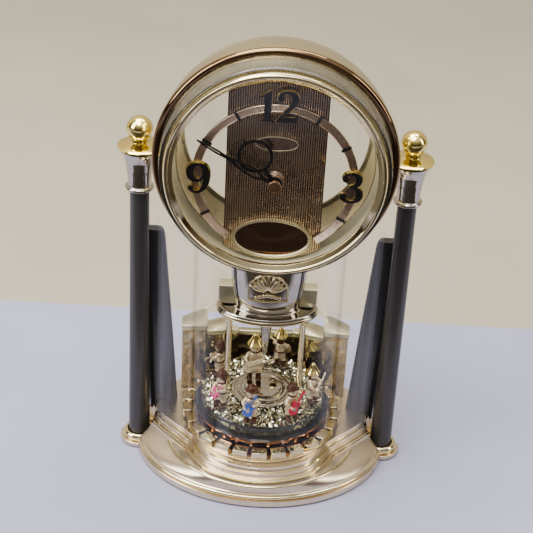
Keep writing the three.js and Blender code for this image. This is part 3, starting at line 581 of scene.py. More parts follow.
def hammered_block(name, low, high, material, pitch=1.5, depth=0.5):
    """A block whose sides are dented all over, as if struck with a small round hammer."""
    (x0, y0, z0), (x1, y1, z1) = low, high
    outline = []
    corners = [(x0, y0), (x1, y0), (x1, y1), (x0, y1)]
    for (ax, ay), (bx, by) in zip(corners, corners[1:] + corners[:1]):
        count = max(2, round(math.hypot(bx - ax, by - ay) / pitch))
        outline += [(ax + (bx - ax) * k / count, ay + (by - ay) * k / count) for k in range(count)]
    middle = ((x0 + x1) / 2, (y0 + y1) / 2)
    levels = max(2, round((z1 - z0) / pitch))
    rings = []
    for level in range(levels + 1):
        z = z0 + (z1 - z0) * level / levels
        ring = []
        for x, y in outline:
            dent = depth * (0.5 + noise.noise((x * 0.45, y * 0.45, z * 0.45))) if 0 < level < levels else 0.0
            reach = math.hypot(x - middle[0], y - middle[1])
            shrink = 1 - max(0.0, dent) / reach
            ring.append((middle[0] + (x - middle[0]) * shrink, middle[1] + (y - middle[1]) * shrink, z))
        rings.append(ring)
    return lofted(name, rings, material, 20.0)


def gallery_block(low, high, turn, centre, top, m):
    """One rough-faced block with a smooth slab on top, cut clear of the turntable and the deck edge; its
    dented sides are painted a darker gold than the pale top slab: painted shade on the sides, painted
    highlight on the top.
    """
    z0 = FLOOR_TOP + 0.3
    # painted shade: the dented sides take the dark hammered gold, the top slab the pale gold
    body = hammered_block("wall", (low[0], low[1], z0), (high[0], high[1], top - 3.7), m["painted_shade_gold"])
    cap_low, cap_high = (low[0] - 0.3, low[1] - 0.3, top - 3.5), (high[0] + 0.3, high[1] + 0.3, top)
    cap = block("cap", cap_low, cap_high, m["pale"], 0.5, 3)
    for piece in (body, cap):
        piece.data.transform(Matrix.Rotation(turn, 4, "Z"))
        move(piece, centre[0], centre[1], 0)
    return [body, cap]


def make_gallery(m):
    parts = []
    for side in (-1, 1):
        parts += gallery_block((-8.6, -10.8), (8.6, 10.8), side * -0.05, (side * 49.8, 35.4), 80, m)
        parts += gallery_block((-7, -7.8), (7, 9.8), side * -0.12, (side * 35, 44), 69, m)
        parts += gallery_block((-5.8, -3), (5.8, 3), side * -0.3, (side * 25.6, 51.6), 62, m)
    parts += gallery_block((-23.8, -2), (23.8, 2), 0, (0, 55.5), 59, m)
    outline = lofted("deck_room", [deck_ring(6.8, 20), deck_ring(6.8, 90)], m["pale"])
    ring_room = turned("ring_room", [(0, 20), (55.2, 20), (55.2, 34.8), (0, 34.8)], m["gold"])
    table_room = turned("table_room", [(0, 34), (48.4, 34), (48.4, 90), (0, 90)], m["gold"])
    rooms = [(ring_room, "DIFFERENCE"), (table_room, "DIFFERENCE"), (outline, "INTERSECT")]
    gallery = carve("gallery_blocks", parts, rooms)
    place(gallery, "frame", ["gallery"], "bright_gold")


# ---- columns ------------------------------------------------------------------------
def post_outline(side, centre, half, z):
    """One level of an inner post: a flat oval with squared-off sides."""
    def squared(value):
        return math.copysign(abs(value) ** 0.6, value)

    points = []
    for t in around(40):
        points.append((side * (centre + half * squared(math.cos(t))), 12.1 + 3.4 * squared(math.sin(t)), z))
    return points


def make_columns(m):
    shaft = [(0, 3.8), (7.4, 3.8), (7.2, 30), (6.8, 90), (6.5, 140), (6.2, 199), (0, 199)]
    foot = [(7.9, 3.8), (10.2, 3.8), (11.1, 5.2), (10.9, 7.0), (9.6, 8.6), (7.9, 8.6)]
    bell = [(0, 199.3), (7.6, 199.3), (9.1, 199.9), (9.2, 201.2), (8.6, 202.0), (7.6, 202.4), (7.5, 204),
            (7.7, 208), (8.3, 214), (9.3, 220), (10.8, 224.5), (12.6, 227.2), (13.1, 227.9), (12.6, 228.1),
            (0, 228.1)]
    knob = [(0, 228.3), (13.0, 228.3), (13.9, 229.0), (13.9, 229.8), (12.6, 230.6), (8.4, 231.4),
            (5.6, 232.0), (4.9, 232.6), (5.6, 233.2), (5.4, 233.9), (4.3, 234.3)]
    for k in range(1, 14):
        t = -0.95 + (math.pi / 2 + 0.95) * k / 14
        knob.append((8.2 * math.cos(t), 241.3 + 8.2 * math.sin(t)))
    knob.append((0, 249.5))
    levels = ((20.6, 68.8, 9.8), (90, 73.0, 9.1), (158, 77.3, 8.2), (162, 77.5, 7.6), (164, 77.6, 6.4))
    for side, word in SIDES:
        centre = (side * COLUMN_X, 0, 0)
        place(turned(f"shaft_{word}", shaft, m["smoke"], centre), "frame", [f"column_{word}"], "smoke")
        ring = turned_ring(f"foot_{word}", foot, m["gold"], 0.8, 4, centre=centre)
        place(ring, "frame", [f"foot_ring_{word}"], "gold_plate")
        capital = turned_soft(f"bell_{word}", bell, m["chrome"], 0.5, centre=centre)
        place(capital, "frame", [f"capital_{word}"], "chrome_plate")
        place(turned(f"ball_{word}", knob, m["yellow"], centre), "frame", [f"finial_{word}"], "bright_gold")
        rows = [post_outline(side, middle, half, z) for z, middle, half in levels]
        place(lofted(f"post_{word}", rows, m["tinted"], 50.0), "frame", [f"inner_post_{word}"], "smoke")


# ---- clear covers -------------------------------------------------------------------
def make_covers(m):
    wall, reach, steps = 1.6, 84.0, 168
    rings = []
    for i in range(steps + 1):
        angle = -reach + 2 * reach * i / steps
        t = math.radians(angle - 90)
        r = soft_deck_radius(angle) - 0.5
        ring = []
        for radius in (r, r - wall):
            x, y = radius * math.cos(t), radius * math.sin(t)
            clearance = 69.6 if y < -41.3 else 75.4
            top = 182.0
            if abs(x) < clearance:
                top = min(top, HEAD_Z - math.sqrt(clearance ** 2 - x * x))
            ring += [(x, y, 20.5), (x, y, top)]
        rings.append([ring[0], ring[1], ring[3], ring[2]])
    cover = lofted("clear_front", rings, m["clear"], 38.0)
    cover.visible_shadow = False
    place(cover, "frame", ["front_cover"], "clear")

    side = [(46, 82), (46, 140)]
    for k in range(1, 13):
        t = k / 12
        y = 46 * (1 - t) ** 2 + 2 * 45 * t * (1 - t) + 9.4 * t * t
        z = 140 * (1 - t) ** 2 + 2 * 172 * t * (1 - t) + 181 * t * t
        side.append((y, z))
    rows = []
    for y, z in side:
        drop = max(0.0, 91 - z)
        half = 66 if drop == 0 else 57 + math.sqrt(max(0.0, 81 - drop * drop))
        rows.append((half, y, z))
    first = rows[0]
    extra = [(57 + math.sqrt(max(0.0, 81 - (9 - k) ** 2)), 46, 82 + k) for k in (0.3, 1.0, 2.5, 4.5, 7, 9)]
    rows = [first] + extra + rows[1:]
    verts = [(sx * half, y, z) for half, y, z in rows for sx in (-1, 1)]
    faces = [(2 * i, 2 * i + 1, 2 * i + 3, 2 * i + 2) for i in range(len(rows) - 1)]
    back = new_object("clear_back", verts, faces, m["clear"])
    solid = back.modifiers.new("wall", "SOLIDIFY")
    solid.thickness = 1.6 * MM
    back = joined("clear_back", [back])
    back.visible_shadow = False
    place(back, "frame", ["rear_panel"], "clear")


# ---- head ---------------------------------------------------------------------------
def make_head(m):
    centre = (0, 0, HEAD_Z)

    def ring(name, profile, finish, node, slot, soft=0.5):
        piece = turned_ring(name, profile, m[finish], soft, centre=centre, axis="Y", sides=192)
        return place(piece, "frame", [node], slot)

    ring("drum", [(59.5, -33), (72.6, -33), (73.2, -31), (72.9, -25), (72.2, -18), (70.8, -11), (68.6, -4),
                  (65.6, 2), (62.4, 6.4), (60.2, 8.2), (58.2, 8.4), (57.5, 7.6), (57.7, 6.7), (60, 5),
                  (66.6, -9), (70, -30.4), (59.5, -30.4)], "satin", "head_drum", "gold_plate", 0.8)
    ring("outer_ring", [(69.8, -33.3), (73.2, -33.3), (74.4, -34.4), (74.3, -35.8), (73.4, -37.2),
                        (71.6, -38), (69.8, -37.4)], "bezel", "bezel_outer", "bronze_plate", 0.7)
    glass = ring("side_glass", [(69.3, -37.9), (70.9, -38.4), (68.6, -51.5), (67.2, -51.5)], "side",
                 "head_glass", "clear", 0.2)
    glass.visible_shadow = False
    ring("sight_ring", [(60.5, -52.7), (63.3, -54.3), (63.6, -55.1), (64.4, -55.5), (65.4, -55.1),
                        (66.2, -53.8), (66.7, -51.5), (66.2, -48.4), (64.6, -47), (62.8, -47), (62.6, -50),
                        (60.5, -50.6)],
         "gold", "bezel_inner", "bright_gold", 0.25)
    dome = [(0, -55.4), (12, -55.35), (24, -55.2), (36, -54.95), (48, -54.55), (56, -54.2), (60.2, -53.9),
            (60.3, -53.1), (56, -52.9), (48, -53.2), (36, -53.6), (24, -53.85), (12, -54.0), (0, -54.05)]
    crystal = turned("dome_crystal", dome, m["crystal"], centre, "Y", 160)
    crystal.visible_shadow = False
    place(crystal, "frame", ["front_crystal"], "clear")
    ring("tunnel", [(62.4, -46.6), (64.4, -46.6), (64.2, -40), (62, -33.4), (60, -33.4), (60.4, -34.6),
                    (62.2, -40)], "tunnel", "tunnel_wall", "gold_plate", 0.4)
    disc = [(0, 5), (57.2, 5), (57.2, 6.2), (0, 6.2)]
    pane = turned_soft("rear_pane", disc, m["clear"], 0.2, centre=centre, axis="Y", sides=128)
    pane.visible_shadow = False
    place(pane, "frame", ["rear_glass"], "clear")


# ---- dial ---------------------------------------------------------------------------
OVAL = (24.4, 13.6, 193.0)       # half width, half height and centre height of the window


def panel_strip(name, z_low, z_high, x_range, m, samples=6):
    """One closed slab whose front is finely ribbed from side to side."""
    x0, x1 = x_range
    count = round((x1 - x0) / RIB_PITCH) * samples
    back = PANEL_Y + 2.5
    rings = []
    for i in range(count + 1):
        x = x0 + (x1 - x0) * i / count
        front = PANEL_Y + 0.5 - 0.6 * abs(math.cos(math.pi * i / samples))
        low, high = z_low(x), z_high(x)
        rings.append([(x, front, low), (x, front, high), (x, back, high), (x, back, low)])
    return lofted(name, rings, m["ribbed"], 60.0)


def make_panel(m):
    half, sight = 29.5, 61.3
    a, b, oz = OVAL[0] - 1.4, OVAL[1] - 1.4, OVAL[2]

    def arch(x):
        return math.sqrt(sight * sight - x * x)

    def oval(x):
        return b * math.sqrt(max(0.0, 1 - (x / a) ** 2))

    def top(x):
        return HEAD_Z + arch(x)

    def bottom(x):
        return HEAD_Z - arch(x)

    def below_oval(x):
        return min(bottom(x), oz - oval(x) - 0.3)

    parts = [
        panel_strip("upper", lambda x: oz + oval(x), top, (-a, a), m),
        panel_strip("lower", below_oval, lambda x: oz - oval(x), (-a, a), m),
        panel_strip("side", bottom, top, (-half, -a), m),
        panel_strip("side", bottom, top, (a, half), m),
    ]
    place(joined("ribbed_panel", parts), "frame", ["dial_panel"], "bronze_plate")


def arc_bar(name, profile, start, end, steps, material):
    """A [radius, y] outline carried round the hand axis from one clock angle to another."""
    rings = []
    for i in range(steps + 1):
        t = math.radians(start + (end - start) * i / steps)
        rings.append([(r * math.sin(t), y, DIAL_Z + r * math.cos(t)) for r, y in profile])
    return lofted(name, rings, material, 45.0)


def make_chapter_ring(m):
    back = PANEL_Y - 0.3
    front = PANEL_Y - 2.0
    profile = [(45.0, back), (45.0, front + 0.2), (45.3, front)]
    ridges = 6
    for k in range(ridges):
        r = 45.5 + 3.8 * k / ridges
        step = 3.8 / ridges
        profile += [(r + 0.08, front + 0.22), (r + step * 0.5, front - 0.05), (r + step - 0.08, front + 0.22)]
    profile += [(49.5, front - 0.1), (49.8, front + 0.15), (49.8, back)]
    ring = arc_bar("hour_ring", profile, -146, 146, 292, m["ring"])
    place(ring, "frame", ["chapter_ring"], "bronze_plate")
    for hour in (1, 2, 4, 8, 10, 11):
        angle = 30 * hour if hour < 7 else 30 * hour - 360
        tick = block("tick", (-0.75, front - 0.9, 44.2), (0.75, front + 0.4, 50.4), m["black"], 0.15, 2)
        tick.data.transform(Matrix.Rotation(math.radians(angle), 4, "Y"))
        move(tick, 0, 0, DIAL_Z)
        tick.name = f"hour_tick_{hour}"
        place(joined(tick.name, [tick]), "frame", slot="black")


def bezier(points, steps=10):
    """Points along a closed outline of quadratic curves: each corner is (x, z) or (x, z, bend x, bend z)."""
    out = []
    count = len(points)
    for i, corner in enumerate(points):
        x0, z0 = corner[:2]
        nxt = points[(i + 1) % count]
        if len(nxt) == 2:
            out.append((x0, z0))
            continue
        x1, z1, bx, bz = nxt
        for k in range(steps):
            t = k / steps
            out.append((x0 * (1 - t) ** 2 + 2 * bx * t * (1 - t) + x1 * t * t,
                        z0 * (1 - t) ** 2 + 2 * bz * t * (1 - t) + z1 * t * t))
    return out


def flat_piece(name, outlines, y_front, y_back, materials, bevel=0.18):
    """Closed outlines in X and Z, holes included, given thickness along Y with eased edges."""
    data = bpy.data.curves.new(name, "CURVE")
    data.dimensions = "2D"
    data.fill_mode = "BOTH"
    data.extrude = (y_back - y_front) / 2 * MM - bevel * MM
    data.bevel_depth = bevel * MM
    data.bevel_resolution = 2
    data.offset = -bevel * MM
    for outline in outlines:
        spline = data.splines.new("POLY")
        spline.points.add(len(outline) - 1)
        for point, (x, z) in zip(spline.points, outline):
            point.co = (x * MM, z * MM, 0, 1)
        spline.use_cyclic_u = True
    obj = joined(name, [add_object(name, data)])
    mesh = obj.data
    mesh.transform(Matrix.Rotation(math.radians(90), 4, "X"))
    mesh.transform(Matrix.Translation((0, (y_front + y_back) / 2 * MM, 0)))
    mesh.materials.clear()
    for material in materials:
        mesh.materials.append(material)
    mesh.update()
    for face in mesh.polygons:
        side = abs(face.normal.y) < 0.35
        face.material_index = 1 if side and len(materials) > 1 else 0
    mesh.shade_smooth()
    mesh.set_sharp_from_angle(angle=math.radians(32))
    return obj


def circle_outline(cx, cz, rx, rz=None, steps=48):
    rz = rx if rz is None else rz
    return [(cx + rx * math.cos(t), cz + rz * math.sin(t)) for t in around(steps)]


def shifted(outline, dx, dz):
    return [(x + dx, z + dz) for x, z in outline]


# The outlines of the digits, in mm about the middle of each digit, read by bezier().
ONE = [(-4.2, -9.7), (4.2, -9.7), (4.2, -8.5), (2.1, -7.4, 2.2, -8.4), (2.1, 9.8), (0.7, 9.8),
       (-4.8, 6.4, -1.6, 7.0), (-4.4, 5.2), (-2.0, 5.4, -2.6, 6.0), (-2.0, -7.4), (-4.2, -8.5, -2.1, -8.4)]
TWO = [(-6.0, -9.7), (5.6, -9.7), (6.7, -4.4), (5.5, -4.4), (3.4, -6.4, 5.0, -6.4), (-1.8, -6.4),
       (4.0, 0.2, 0.6, -3.2), (6.4, 5.0, 6.4, 2.6), (0.2, 9.9, 6.2, 9.9), (-6.0, 5.2, -5.8, 9.6),
       (-3.8, 3.1, -5.8, 3.2), (-1.9, 5.0, -2.0, 3.2), (-3.0, 6.8, -1.9, 6.3), (-0.4, 8.3, -2.6, 8.3),
       (2.2, 4.8, 2.2, 8.2), (-0.6, -1.4, 2.0, 2.0), (-6.0, -8.2, -3.4, -4.6)]
THREE = [(-6.6, -6.2), (0.2, -10.3, -5.4, -10.3), (7.1, -4.4, 7.1, -10.0), (3.4, 0.6, 7.0, -0.4),
         (6.2, 5.4, 6.2, 1.8), (0.2, 10.3, 6.0, 10.3), (-5.6, 5.6, -5.4, 10.0), (-3.6, 3.6, -5.4, 3.6),
         (-1.8, 5.3, -1.8, 3.8), (-2.6, 7.0, -1.9, 6.5), (-0.4, 8.6, -2.0, 8.6), (2.4, 5.2, 2.4, 8.4),
         (-1.2, 1.2, 2.2, 1.6), (-1.2, -0.1), (3.1, -4.6, 3.0, -0.4), (-0.4, -8.7, 3.0, -8.6),
         (-2.9, -7.0, -2.6, -8.5), (-2.2, -5.4, -2.2, -6.2), (-4.2, -3.7, -2.4, -3.7),
         (-6.6, -6.2, -6.6, -4.0)]
NINE = [(-5.8, -7.0), (-5.6, -7.6), (0.6, -10.0, -3.4, -10.4), (7.3, 2.4, 7.0, -8.0), (0.0, 10.3, 7.0, 10.2),
        (-6.9, 3.6, -6.9, 10.0), (-0.8, -2.5, -6.6, -2.5), (3.2, -0.6, 1.8, -2.4), (-1.0, -8.4, 2.6, -7.8),
        (-3.0, -7.4, -2.4, -8.4), (-2.4, -6.2, -2.4, -7.0), (-4.0, -4.9, -2.6, -4.9),
        (-5.8, -7.0, -5.6, -5.2)]


def make_numerals(m):
    front, back = PANEL_Y - 4.5, PANEL_Y - 2.2
    finish = [m["black"], m["yellow"]]
    digits = [
        ("digit_one", "numeral_12_one", [bezier(ONE)], -6.4, DIAL_Z + 49.5),
        ("digit_two", "numeral_12_two", [bezier(TWO)], 5.0, DIAL_Z + 49.5),
        ("digit_three", "numeral_3", [bezier(THREE)], 45.5, DIAL_Z - 0.6),
        ("digit_nine", "numeral_9", [bezier(NINE), circle_outline(0.1, 4.1, 2.7, 4.2)], -45.8, DIAL_Z + 0.4),
    ]
    for name, node, outlines, x, z in digits:
        piece = flat_piece(name, [shifted(o, x, z) for o in outlines], front, back, finish, 0.2)
        place(piece, "frame", [node], "black")
        grown = [shifted([(px * 1.06, pz * 1.05) for px, pz in o], x, z) for o in outlines]
        rear = flat_piece(name + "_rim", grown, back - 1.0, back + 0.55, [m["yellow"]], 0.12)
        place(rear, "frame", slot="bright_gold")
    loops = [("three_back", [(0.2, 5.4, 4.6, 4.4), (0.3, -5.0, 5.4, 4.6)], 45.5, DIAL_Z - 0.6),
             ("nine_back", [(0.1, 4.0, 5.4, 5.6)], -45.8, DIAL_Z + 0.4)]
    for name, discs, x, z in loops:
        for k, (cx, cz, rx, rz) in enumerate(discs):
            outline = circle_outline(x + cx, z + cz, rx, rz)
            disc = flat_piece(f"{name}_{k}", [outline], back - 0.9, back - 0.2, [m["bronze"]], 0.1)
            place(disc, "frame", slot="bronze_plate")


def make_oval(m):
    a, b, z = OVAL

    def at(t, grow, y):
        return ((a + grow) * math.cos(t), y, z + (b + grow) * math.sin(t))

    profile = [(-2.0, -0.3), (-2.0, -1.2), (-1.5, -1.9), (-0.8, -2.1), (-0.1, -1.9), (0.2, -1.2), (0.2, -0.3)]
    sections = [[at(t, grow, PANEL_Y + y) for grow, y in profile] for t in around(240)]
    rim = lofted("oval_rim", sections, m["pale"], 40.0, closed=True)
    beads = []
    bead = [(0, -0.62), (0.44, -0.44), (0.62, 0), (0.44, 0.44), (0, 0.62)]
    for t in around(88):
        beads.append(turned("bead", bead, m["gold"], at(t, 0.15, PANEL_Y - 1.6), sides=8))
    place(joined("oval_rim", [rim] + beads), "frame", ["oval_frame"], "gold_plate")
    rings = [[at(t, grow, PANEL_Y + y) for t in around(96)]
             for grow, y in ((-2.1, 0.5), (-2.1, -0.6), (-6.0, -0.3), (-11.0, -0.05))]
    glass = lofted("oval_glass", rings, m["dark_mirror"], 60.0)
    place(glass, "frame", ["oval_mirror"], "chrome_plate")


def make_badge(m):
    outer = circle_outline(0, DIAL_Z + 24, 13, 5)
    inner = circle_outline(0, DIAL_Z + 24, 12.2, 4.2)
    plate = flat_piece("oval_badge", [outer], PANEL_Y - 0.9, PANEL_Y - 0.2, [m["bronze"]], 0.2)
    rim = flat_piece("badge_rim", [outer, inner], PANEL_Y - 1.2, PANEL_Y - 0.8, [m["pale"]], 0.1)
    place(joined("oval_badge", [plate, rim]), "frame", ["badge"], "bronze_plate")
    steps = [(3.4, 0.1), (6.2, 0.1), (6.2, 1.0), (5.4, 1.4), (4.9, 2.3), (4.2, 2.6), (3.9, 3.6), (3.4, 3.6)]
    profile = [(r, PANEL_Y - ahead) for r, ahead in steps]
    bush = turned_ring("hand_bush", profile, m["bronze"], 0.2, 2, centre=(0, 0, DIAL_Z), axis="Y", sides=64)
    place(bush, "frame", slot="bronze_plate")


# ---- hands and movement -------------------------------------------------------------
HOUR_ANGLE = 325                 # degrees clockwise from twelve
MINUTE_ANGLE = 300


def clock_turn(outline, degrees):
    t = math.radians(degrees)
    right, up = math.cos(t), math.sin(t)
    return [(x * right + z * up, DIAL_Z - x * up + z * right) for x, z in outline]


def bar(x0, z0, x1, z1):
    return [(-x0, z0), (x0, z0), (x1, z1), (-x1, z1)]


def make_hands(m):
    def layer(angle, y0, outlines, bevel=0.18):
        shapes = [clock_turn(outline, angle) for outline in outlines]
        return flat_piece("layer", shapes, y0, y0 + 0.9, [m["black"]], bevel)

    tip = [(-1.0, 31.4), (1.0, 31.4), (0.7, 33.2), (0, 35.4), (-0.7, 33.2)]
    hour_shapes = [
        [circle_outline(0, 0, 4.3), circle_outline(0, 0, 2.7)],
        [circle_outline(0, 21.5, 10.7), circle_outline(0, 21.5, 8.9)],
        [bar(1.5, 3.2, 1.3, 12)],
        [tip],
    ]
    hour = [layer(HOUR_ANGLE, PANEL_Y - 5.95, shape) for shape in hour_shapes]
    place(joined("hour_pointer", hour), "hour", ["hour_hand"], "black")
    loop = bezier([(0, 6), (3.2, 16, 3.5, 11.5), (0.9, 33, 2.8, 25), (-0.9, 33), (-3.2, 16, -2.8, 25),
                   (0, 6, -3.5, 11.5)])
    eye = bezier([(0, 9.6), (1.9, 16, 2.1, 12.6), (0, 28.5, 1.6, 22.5), (-1.9, 16, -1.6, 22.5),
                  (0, 9.6, -2.1, 12.6)])
    blade = [(-0.8, 32), (0.8, 32), (1.3, 40), (0.9, 49), (0.3, 54), (-0.3, 54), (-0.9, 49), (-1.3, 40)]
    slit = [(-0.35, 38), (0.35, 38), (0.25, 49), (-0.25, 49)]
    minute_shapes = [
        [circle_outline(0, 0, 3.5), circle_outline(0, 0, 1.7)],
        [bar(1.2, 2.6, 1.0, 7.4)],
        [loop, eye],
    ]
    minute = [layer(MINUTE_ANGLE, PANEL_Y - 7.55, shape) for shape in minute_shapes]
    minute.append(layer(MINUTE_ANGLE, PANEL_Y - 7.55, [blade, slit], 0.1))
    place(joined("minute_pointer", minute), "minute", ["minute_hand"], "black")
    cap = [(0, -52.5), (3.6, -52.5), (3.9, -52.1), (3.9, -50.4), (1.9, -50.2), (0, -50.2)]
    cap = turned_soft("arbor_cap", cap, m["copper"], 0.3, centre=(0, 0, DIAL_Z), axis="Y", sides=64)
    place(cap, "minute", ["post_cap"], "copper")


def finish_cad_nodes(m):
    """CAD solids that keep their own shape get a finish and eased edges."""
    finishes = {
        "base_plate": "plastic", "base_pad": "felt", "movement_case": "plastic", "battery_door": "plastic",
        "battery": "copper", "minute_arbor": "brass", "intermediate_wheel": "brass", "hour_wheel": "brass",
        "setting_knob": "plastic", "pendulum_motor": "plastic",
    }
    for node, finish in finishes.items():
        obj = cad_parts[node]
        obj.data.materials.clear()
        obj.data.materials.append(m[finish])
        add_bevel(obj, 0.35, 2, 40.0)


# ---- canopy and hanging turntable -----------------------------------------------------
def bell_radius(z):
    """Half width of the canopy at a height."""
    marks = [(117.6, 21.6), (123, 22.6), (129, 23.6), (138, 24.6), (150, 25.3), (162, 25.8)]
    return between_marks(marks, z)


def oval_plan(obj):
    """The canopy is an oval: narrower from front to back than from side to side."""
    obj.data.transform(Matrix.Diagonal((1, CANOPY_DEPTH, 1, 1)))
    return obj


def make_canopy(m):
    bell = [(17, 154), (17, 112), (31.4, 112), (33.2, 112.8), (33.5, 114.4), (33.3, 116.2), (32.2, 117.3),
            (30.5, 117.2), (29.6, 116.4), (22.4, 116.4), (21.6, 117.6)]
    bell += [(bell_radius(z), z) for z in range(119, 162, 3)] + [(25.8, 162), (0, 162), (0, 154)]
    body = turned_soft("canopy_bell", bell, m["chrome"], 0.6, sides=160)
    place(oval_plan(body), "frame", ["canopy"], "chrome_plate")
    lip = [(31.6, 112.6), (33.6, 112.4), (34.3, 113.6), (33.9, 115.2), (32.4, 115.9), (31.4, 114.6)]
    lip = turned_ring("canopy_lip", lip, m["gold"], 0.6, sides=160)
    place(oval_plan(lip), "frame", slot="bright_gold")
    for side, word in SIDES:
        outline = [(21, 117.2), (29.6, 117.2), (32.6, 120.4), (32.6, 131), (21, 131)]
        outline = [(side * x, z) for x, z in outline]
        wing = flat_piece(f"canopy_wing_{word}", [outline], -2, 7, [m["pale"]], 0.5)
        place(wing, "frame", slot="gold_plate")
    parts = []
    for k in range(9):
        t = math.radians(-72 + 18 * k)
        leaf = []
        for s in range(13):
            u = s / 12
            reach = 2.2 + 10.2 * u
            width = 0.55 + 1.25 * math.sin(math.pi * min(1.0, u * 0.9 + 0.1))
            x, z = reach * math.sin(t), 136 + reach * math.cos(t)
            leaf.append((x, -math.sqrt(bell_radius(z) ** 2 - x * x) - 0.8, z, width))
        parts.append(tapered("leaf", leaf, m["gold"]))

    def on_bell(x, z, out):
        return (x, -math.sqrt((bell_radius(z) + out) ** 2 - x * x), z)

    turns = [math.radians(a) for a in range(-90, 91, 5)]
    rim = [on_bell(-13, z, 0.7) for z in range(128, 136, 2)]
    rim += [on_bell(13.0 * math.sin(t), 136 + 13.0 * math.cos(t), 0.7) for t in turns]
    rim += [on_bell(13, z, 0.7) for z in range(134, 127, -2)]
    parts.append(swept("arch", rim, 0.7, m["gold"]))
    parts.append(swept("bar", [on_bell(x, 128.4, 0.7) for x in range(-13, 14, 1)], 0.9, m["gold"]))
    for k in range(7):
        x = -7.5 + 2.5 * k
        spot = on_bell(x, 132.0 + 1.2 * math.cos(x * 0.35), 1.0)
        parts.append(ball("knot", spot, (1.35, 1.1, 1.5), m["gold"], 12, 8))
    place(oval_plan(joined("crest_relief", parts)), "frame", ["crest"], "gold_plate")


def tapered(name, points, material, sides=10):
    """A round limb through (x, y, z, radius) points, closed with small round ends."""
    centres = [Vector(p[:3]) for p in points]
    radii = [p[3] for p in points]
    first = (centres[1] - centres[0]).normalized()
    last = (centres[-1] - centres[-2]).normalized()
    centres = [centres[0] - first * radii[0] * 0.6] + centres + [centres[-1] + last * radii[-1] * 0.6]
    radii = [radii[0] * 0.55] + radii + [radii[-1] * 0.55]
    rings, side = [], None
    for i, c in enumerate(centres):
        along = (centres[min(i + 1, len(centres) - 1)] - centres[max(i - 1, 0)]).normalized()
        guess = side if side is not None else (Vector((1, 0, 0)) if abs(along.x) < 0.9 else Vector((0, 1, 0)))
        side = (guess - along * guess.dot(along)).normalized()
        other = along.cross(side)
        spokes = [side * math.cos(t) + other * math.sin(t) for t in around(sides)]
        rings.append([tuple(c + spoke * radii[i]) for spoke in spokes])
    return lofted(name, rings, material, 60.0)


def ball(name, centre, radii, material, sides=20, rows=12):
    rx, ry, rz = radii
    profile = [(math.sin(math.pi * k / rows), -math.cos(math.pi * k / rows)) for k in range(rows + 1)]
    obj = turned(name, profile, material, sides=sides)
    obj.data.transform(Matrix.Diagonal((rx, ry, rz, 1)))
    move(obj, *centre)
    return obj


def make_turntable(m):
    beam = block("beam", (-28.2, -4.6, 106), (28.2, 4.6, 111.6), m["gold"], 1.4, 4)
    pin = [(0, 111), (3, 111), (3, 113), (2.4, 114), (2.4, 123.6), (0, 123.6)]
    pin = turned_soft("pin", pin, m["brass"], 0.3, sides=32)
    place(joined("hub_beam", [beam, pin]), "pendulum", ["pendulum_hub"], "bright_gold")
    profile = [(0, 46.6), (3.2, 46.6), (3.4, 47.4), (2.6, 48.4), (2.0, 48.8), (2.0, 103.4), (2.6, 103.8),
               (3.1, 104.8), (3.0, 105.7), (0, 105.7)]
    for side, word in SIDES:
        rod = turned_soft(f"hanger_{word}", profile, m["gold"], 0.3, centre=(side * 24.6, 0, 0), sides=48)
        place(rod, "pendulum", [f"rod_{word}"], "bright_gold")
    drop = [(0, 74), (0.7, 74.4), (1.3, 77), (2.3, 84), (3.2, 92), (3.8, 100), (4.2, 102.4), (4.0, 105.7),
            (0, 105.7)]
    drop = turned_soft("drop_spindle", drop, m["chrome"], 0.5, sides=48)
    place(drop, "pendulum", ["spindle"], "chrome_plate")
    place(faceted_tray(m), "pendulum", ["turntable_tray"], "bronze_plate")
    disc = [(0, 38.6), (41.6, 38.6), (42.4, 39.4), (42.4, 45.8), (42.0, 46.5), (41.3, 46.5), (41.0, 45.5),
            (0, 45.5)]
    disc = turned_soft("ice_disc", disc, m["ice"], 0.2, sides=160)
    disc.visible_shadow = False
    place(disc, "pendulum", ["crystal_disc"], "crystal")
    shards(m)
    stage = [(0, 46.5), (21.4, 46.5), (21.6, 47.2), (21.2, 48.1), (19.4, 48.3), (19.2, 47.7), (17.4, 47.7),
             (17.2, 49.2), (15.2, 49.4), (15, 48.9), (12.6, 48.9), (12.4, 50.4), (0, 50.4)]
    stage = turned_soft("stage_rings", stage, m["chrome"], 0.25, 2, sides=128)
    place(stage, "pendulum", ["center_stage"], "bright_gold")


def faceted_tray(m):
    """A dark mirror tray whose side is cut into flat upright panes that lean by turns."""
    count = 22
    rows = [(30.4, 39.6, 0.0), (33.0, 46.0, 0.5), (37.4, 46.0, -0.5), (38.2, 45.0, 0.0)]
    verts, faces = [], []
    for i in range(count):
        lean = 0.35 if i % 2 else -0.35
        for k in (i, i + 1):
            t = 2 * math.pi * k / count
            for z, radius, share in rows:
                r = radius + lean * share
                verts.append((r * math.cos(t), r * math.sin(t), z))
    for i in range(count):
        a = 8 * i
        for k in range(3):
            faces.append((a + k, a + 4 + k, a + 5 + k, a + 1 + k))
        b = 8 * ((i + 1) % count)
        faces += [(a + 4, b, b + 1, a + 5), (a + 5, b + 1, b + 2, a + 6), (a + 6, b + 2, b + 3, a + 7)]
    faces.append(tuple(8 * i for i in reversed(range(count))))
    faces.append(tuple(8 * i + 3 for i in range(count)))
    tray = new_object("tray_facets", verts, faces, [m["facet"], m["black"]], smooth=False)
    for face in tray.data.polygons:
        face.material_index = int(face.center.z > 37.5 * MM or face.center.z < 31 * MM)
    return tray


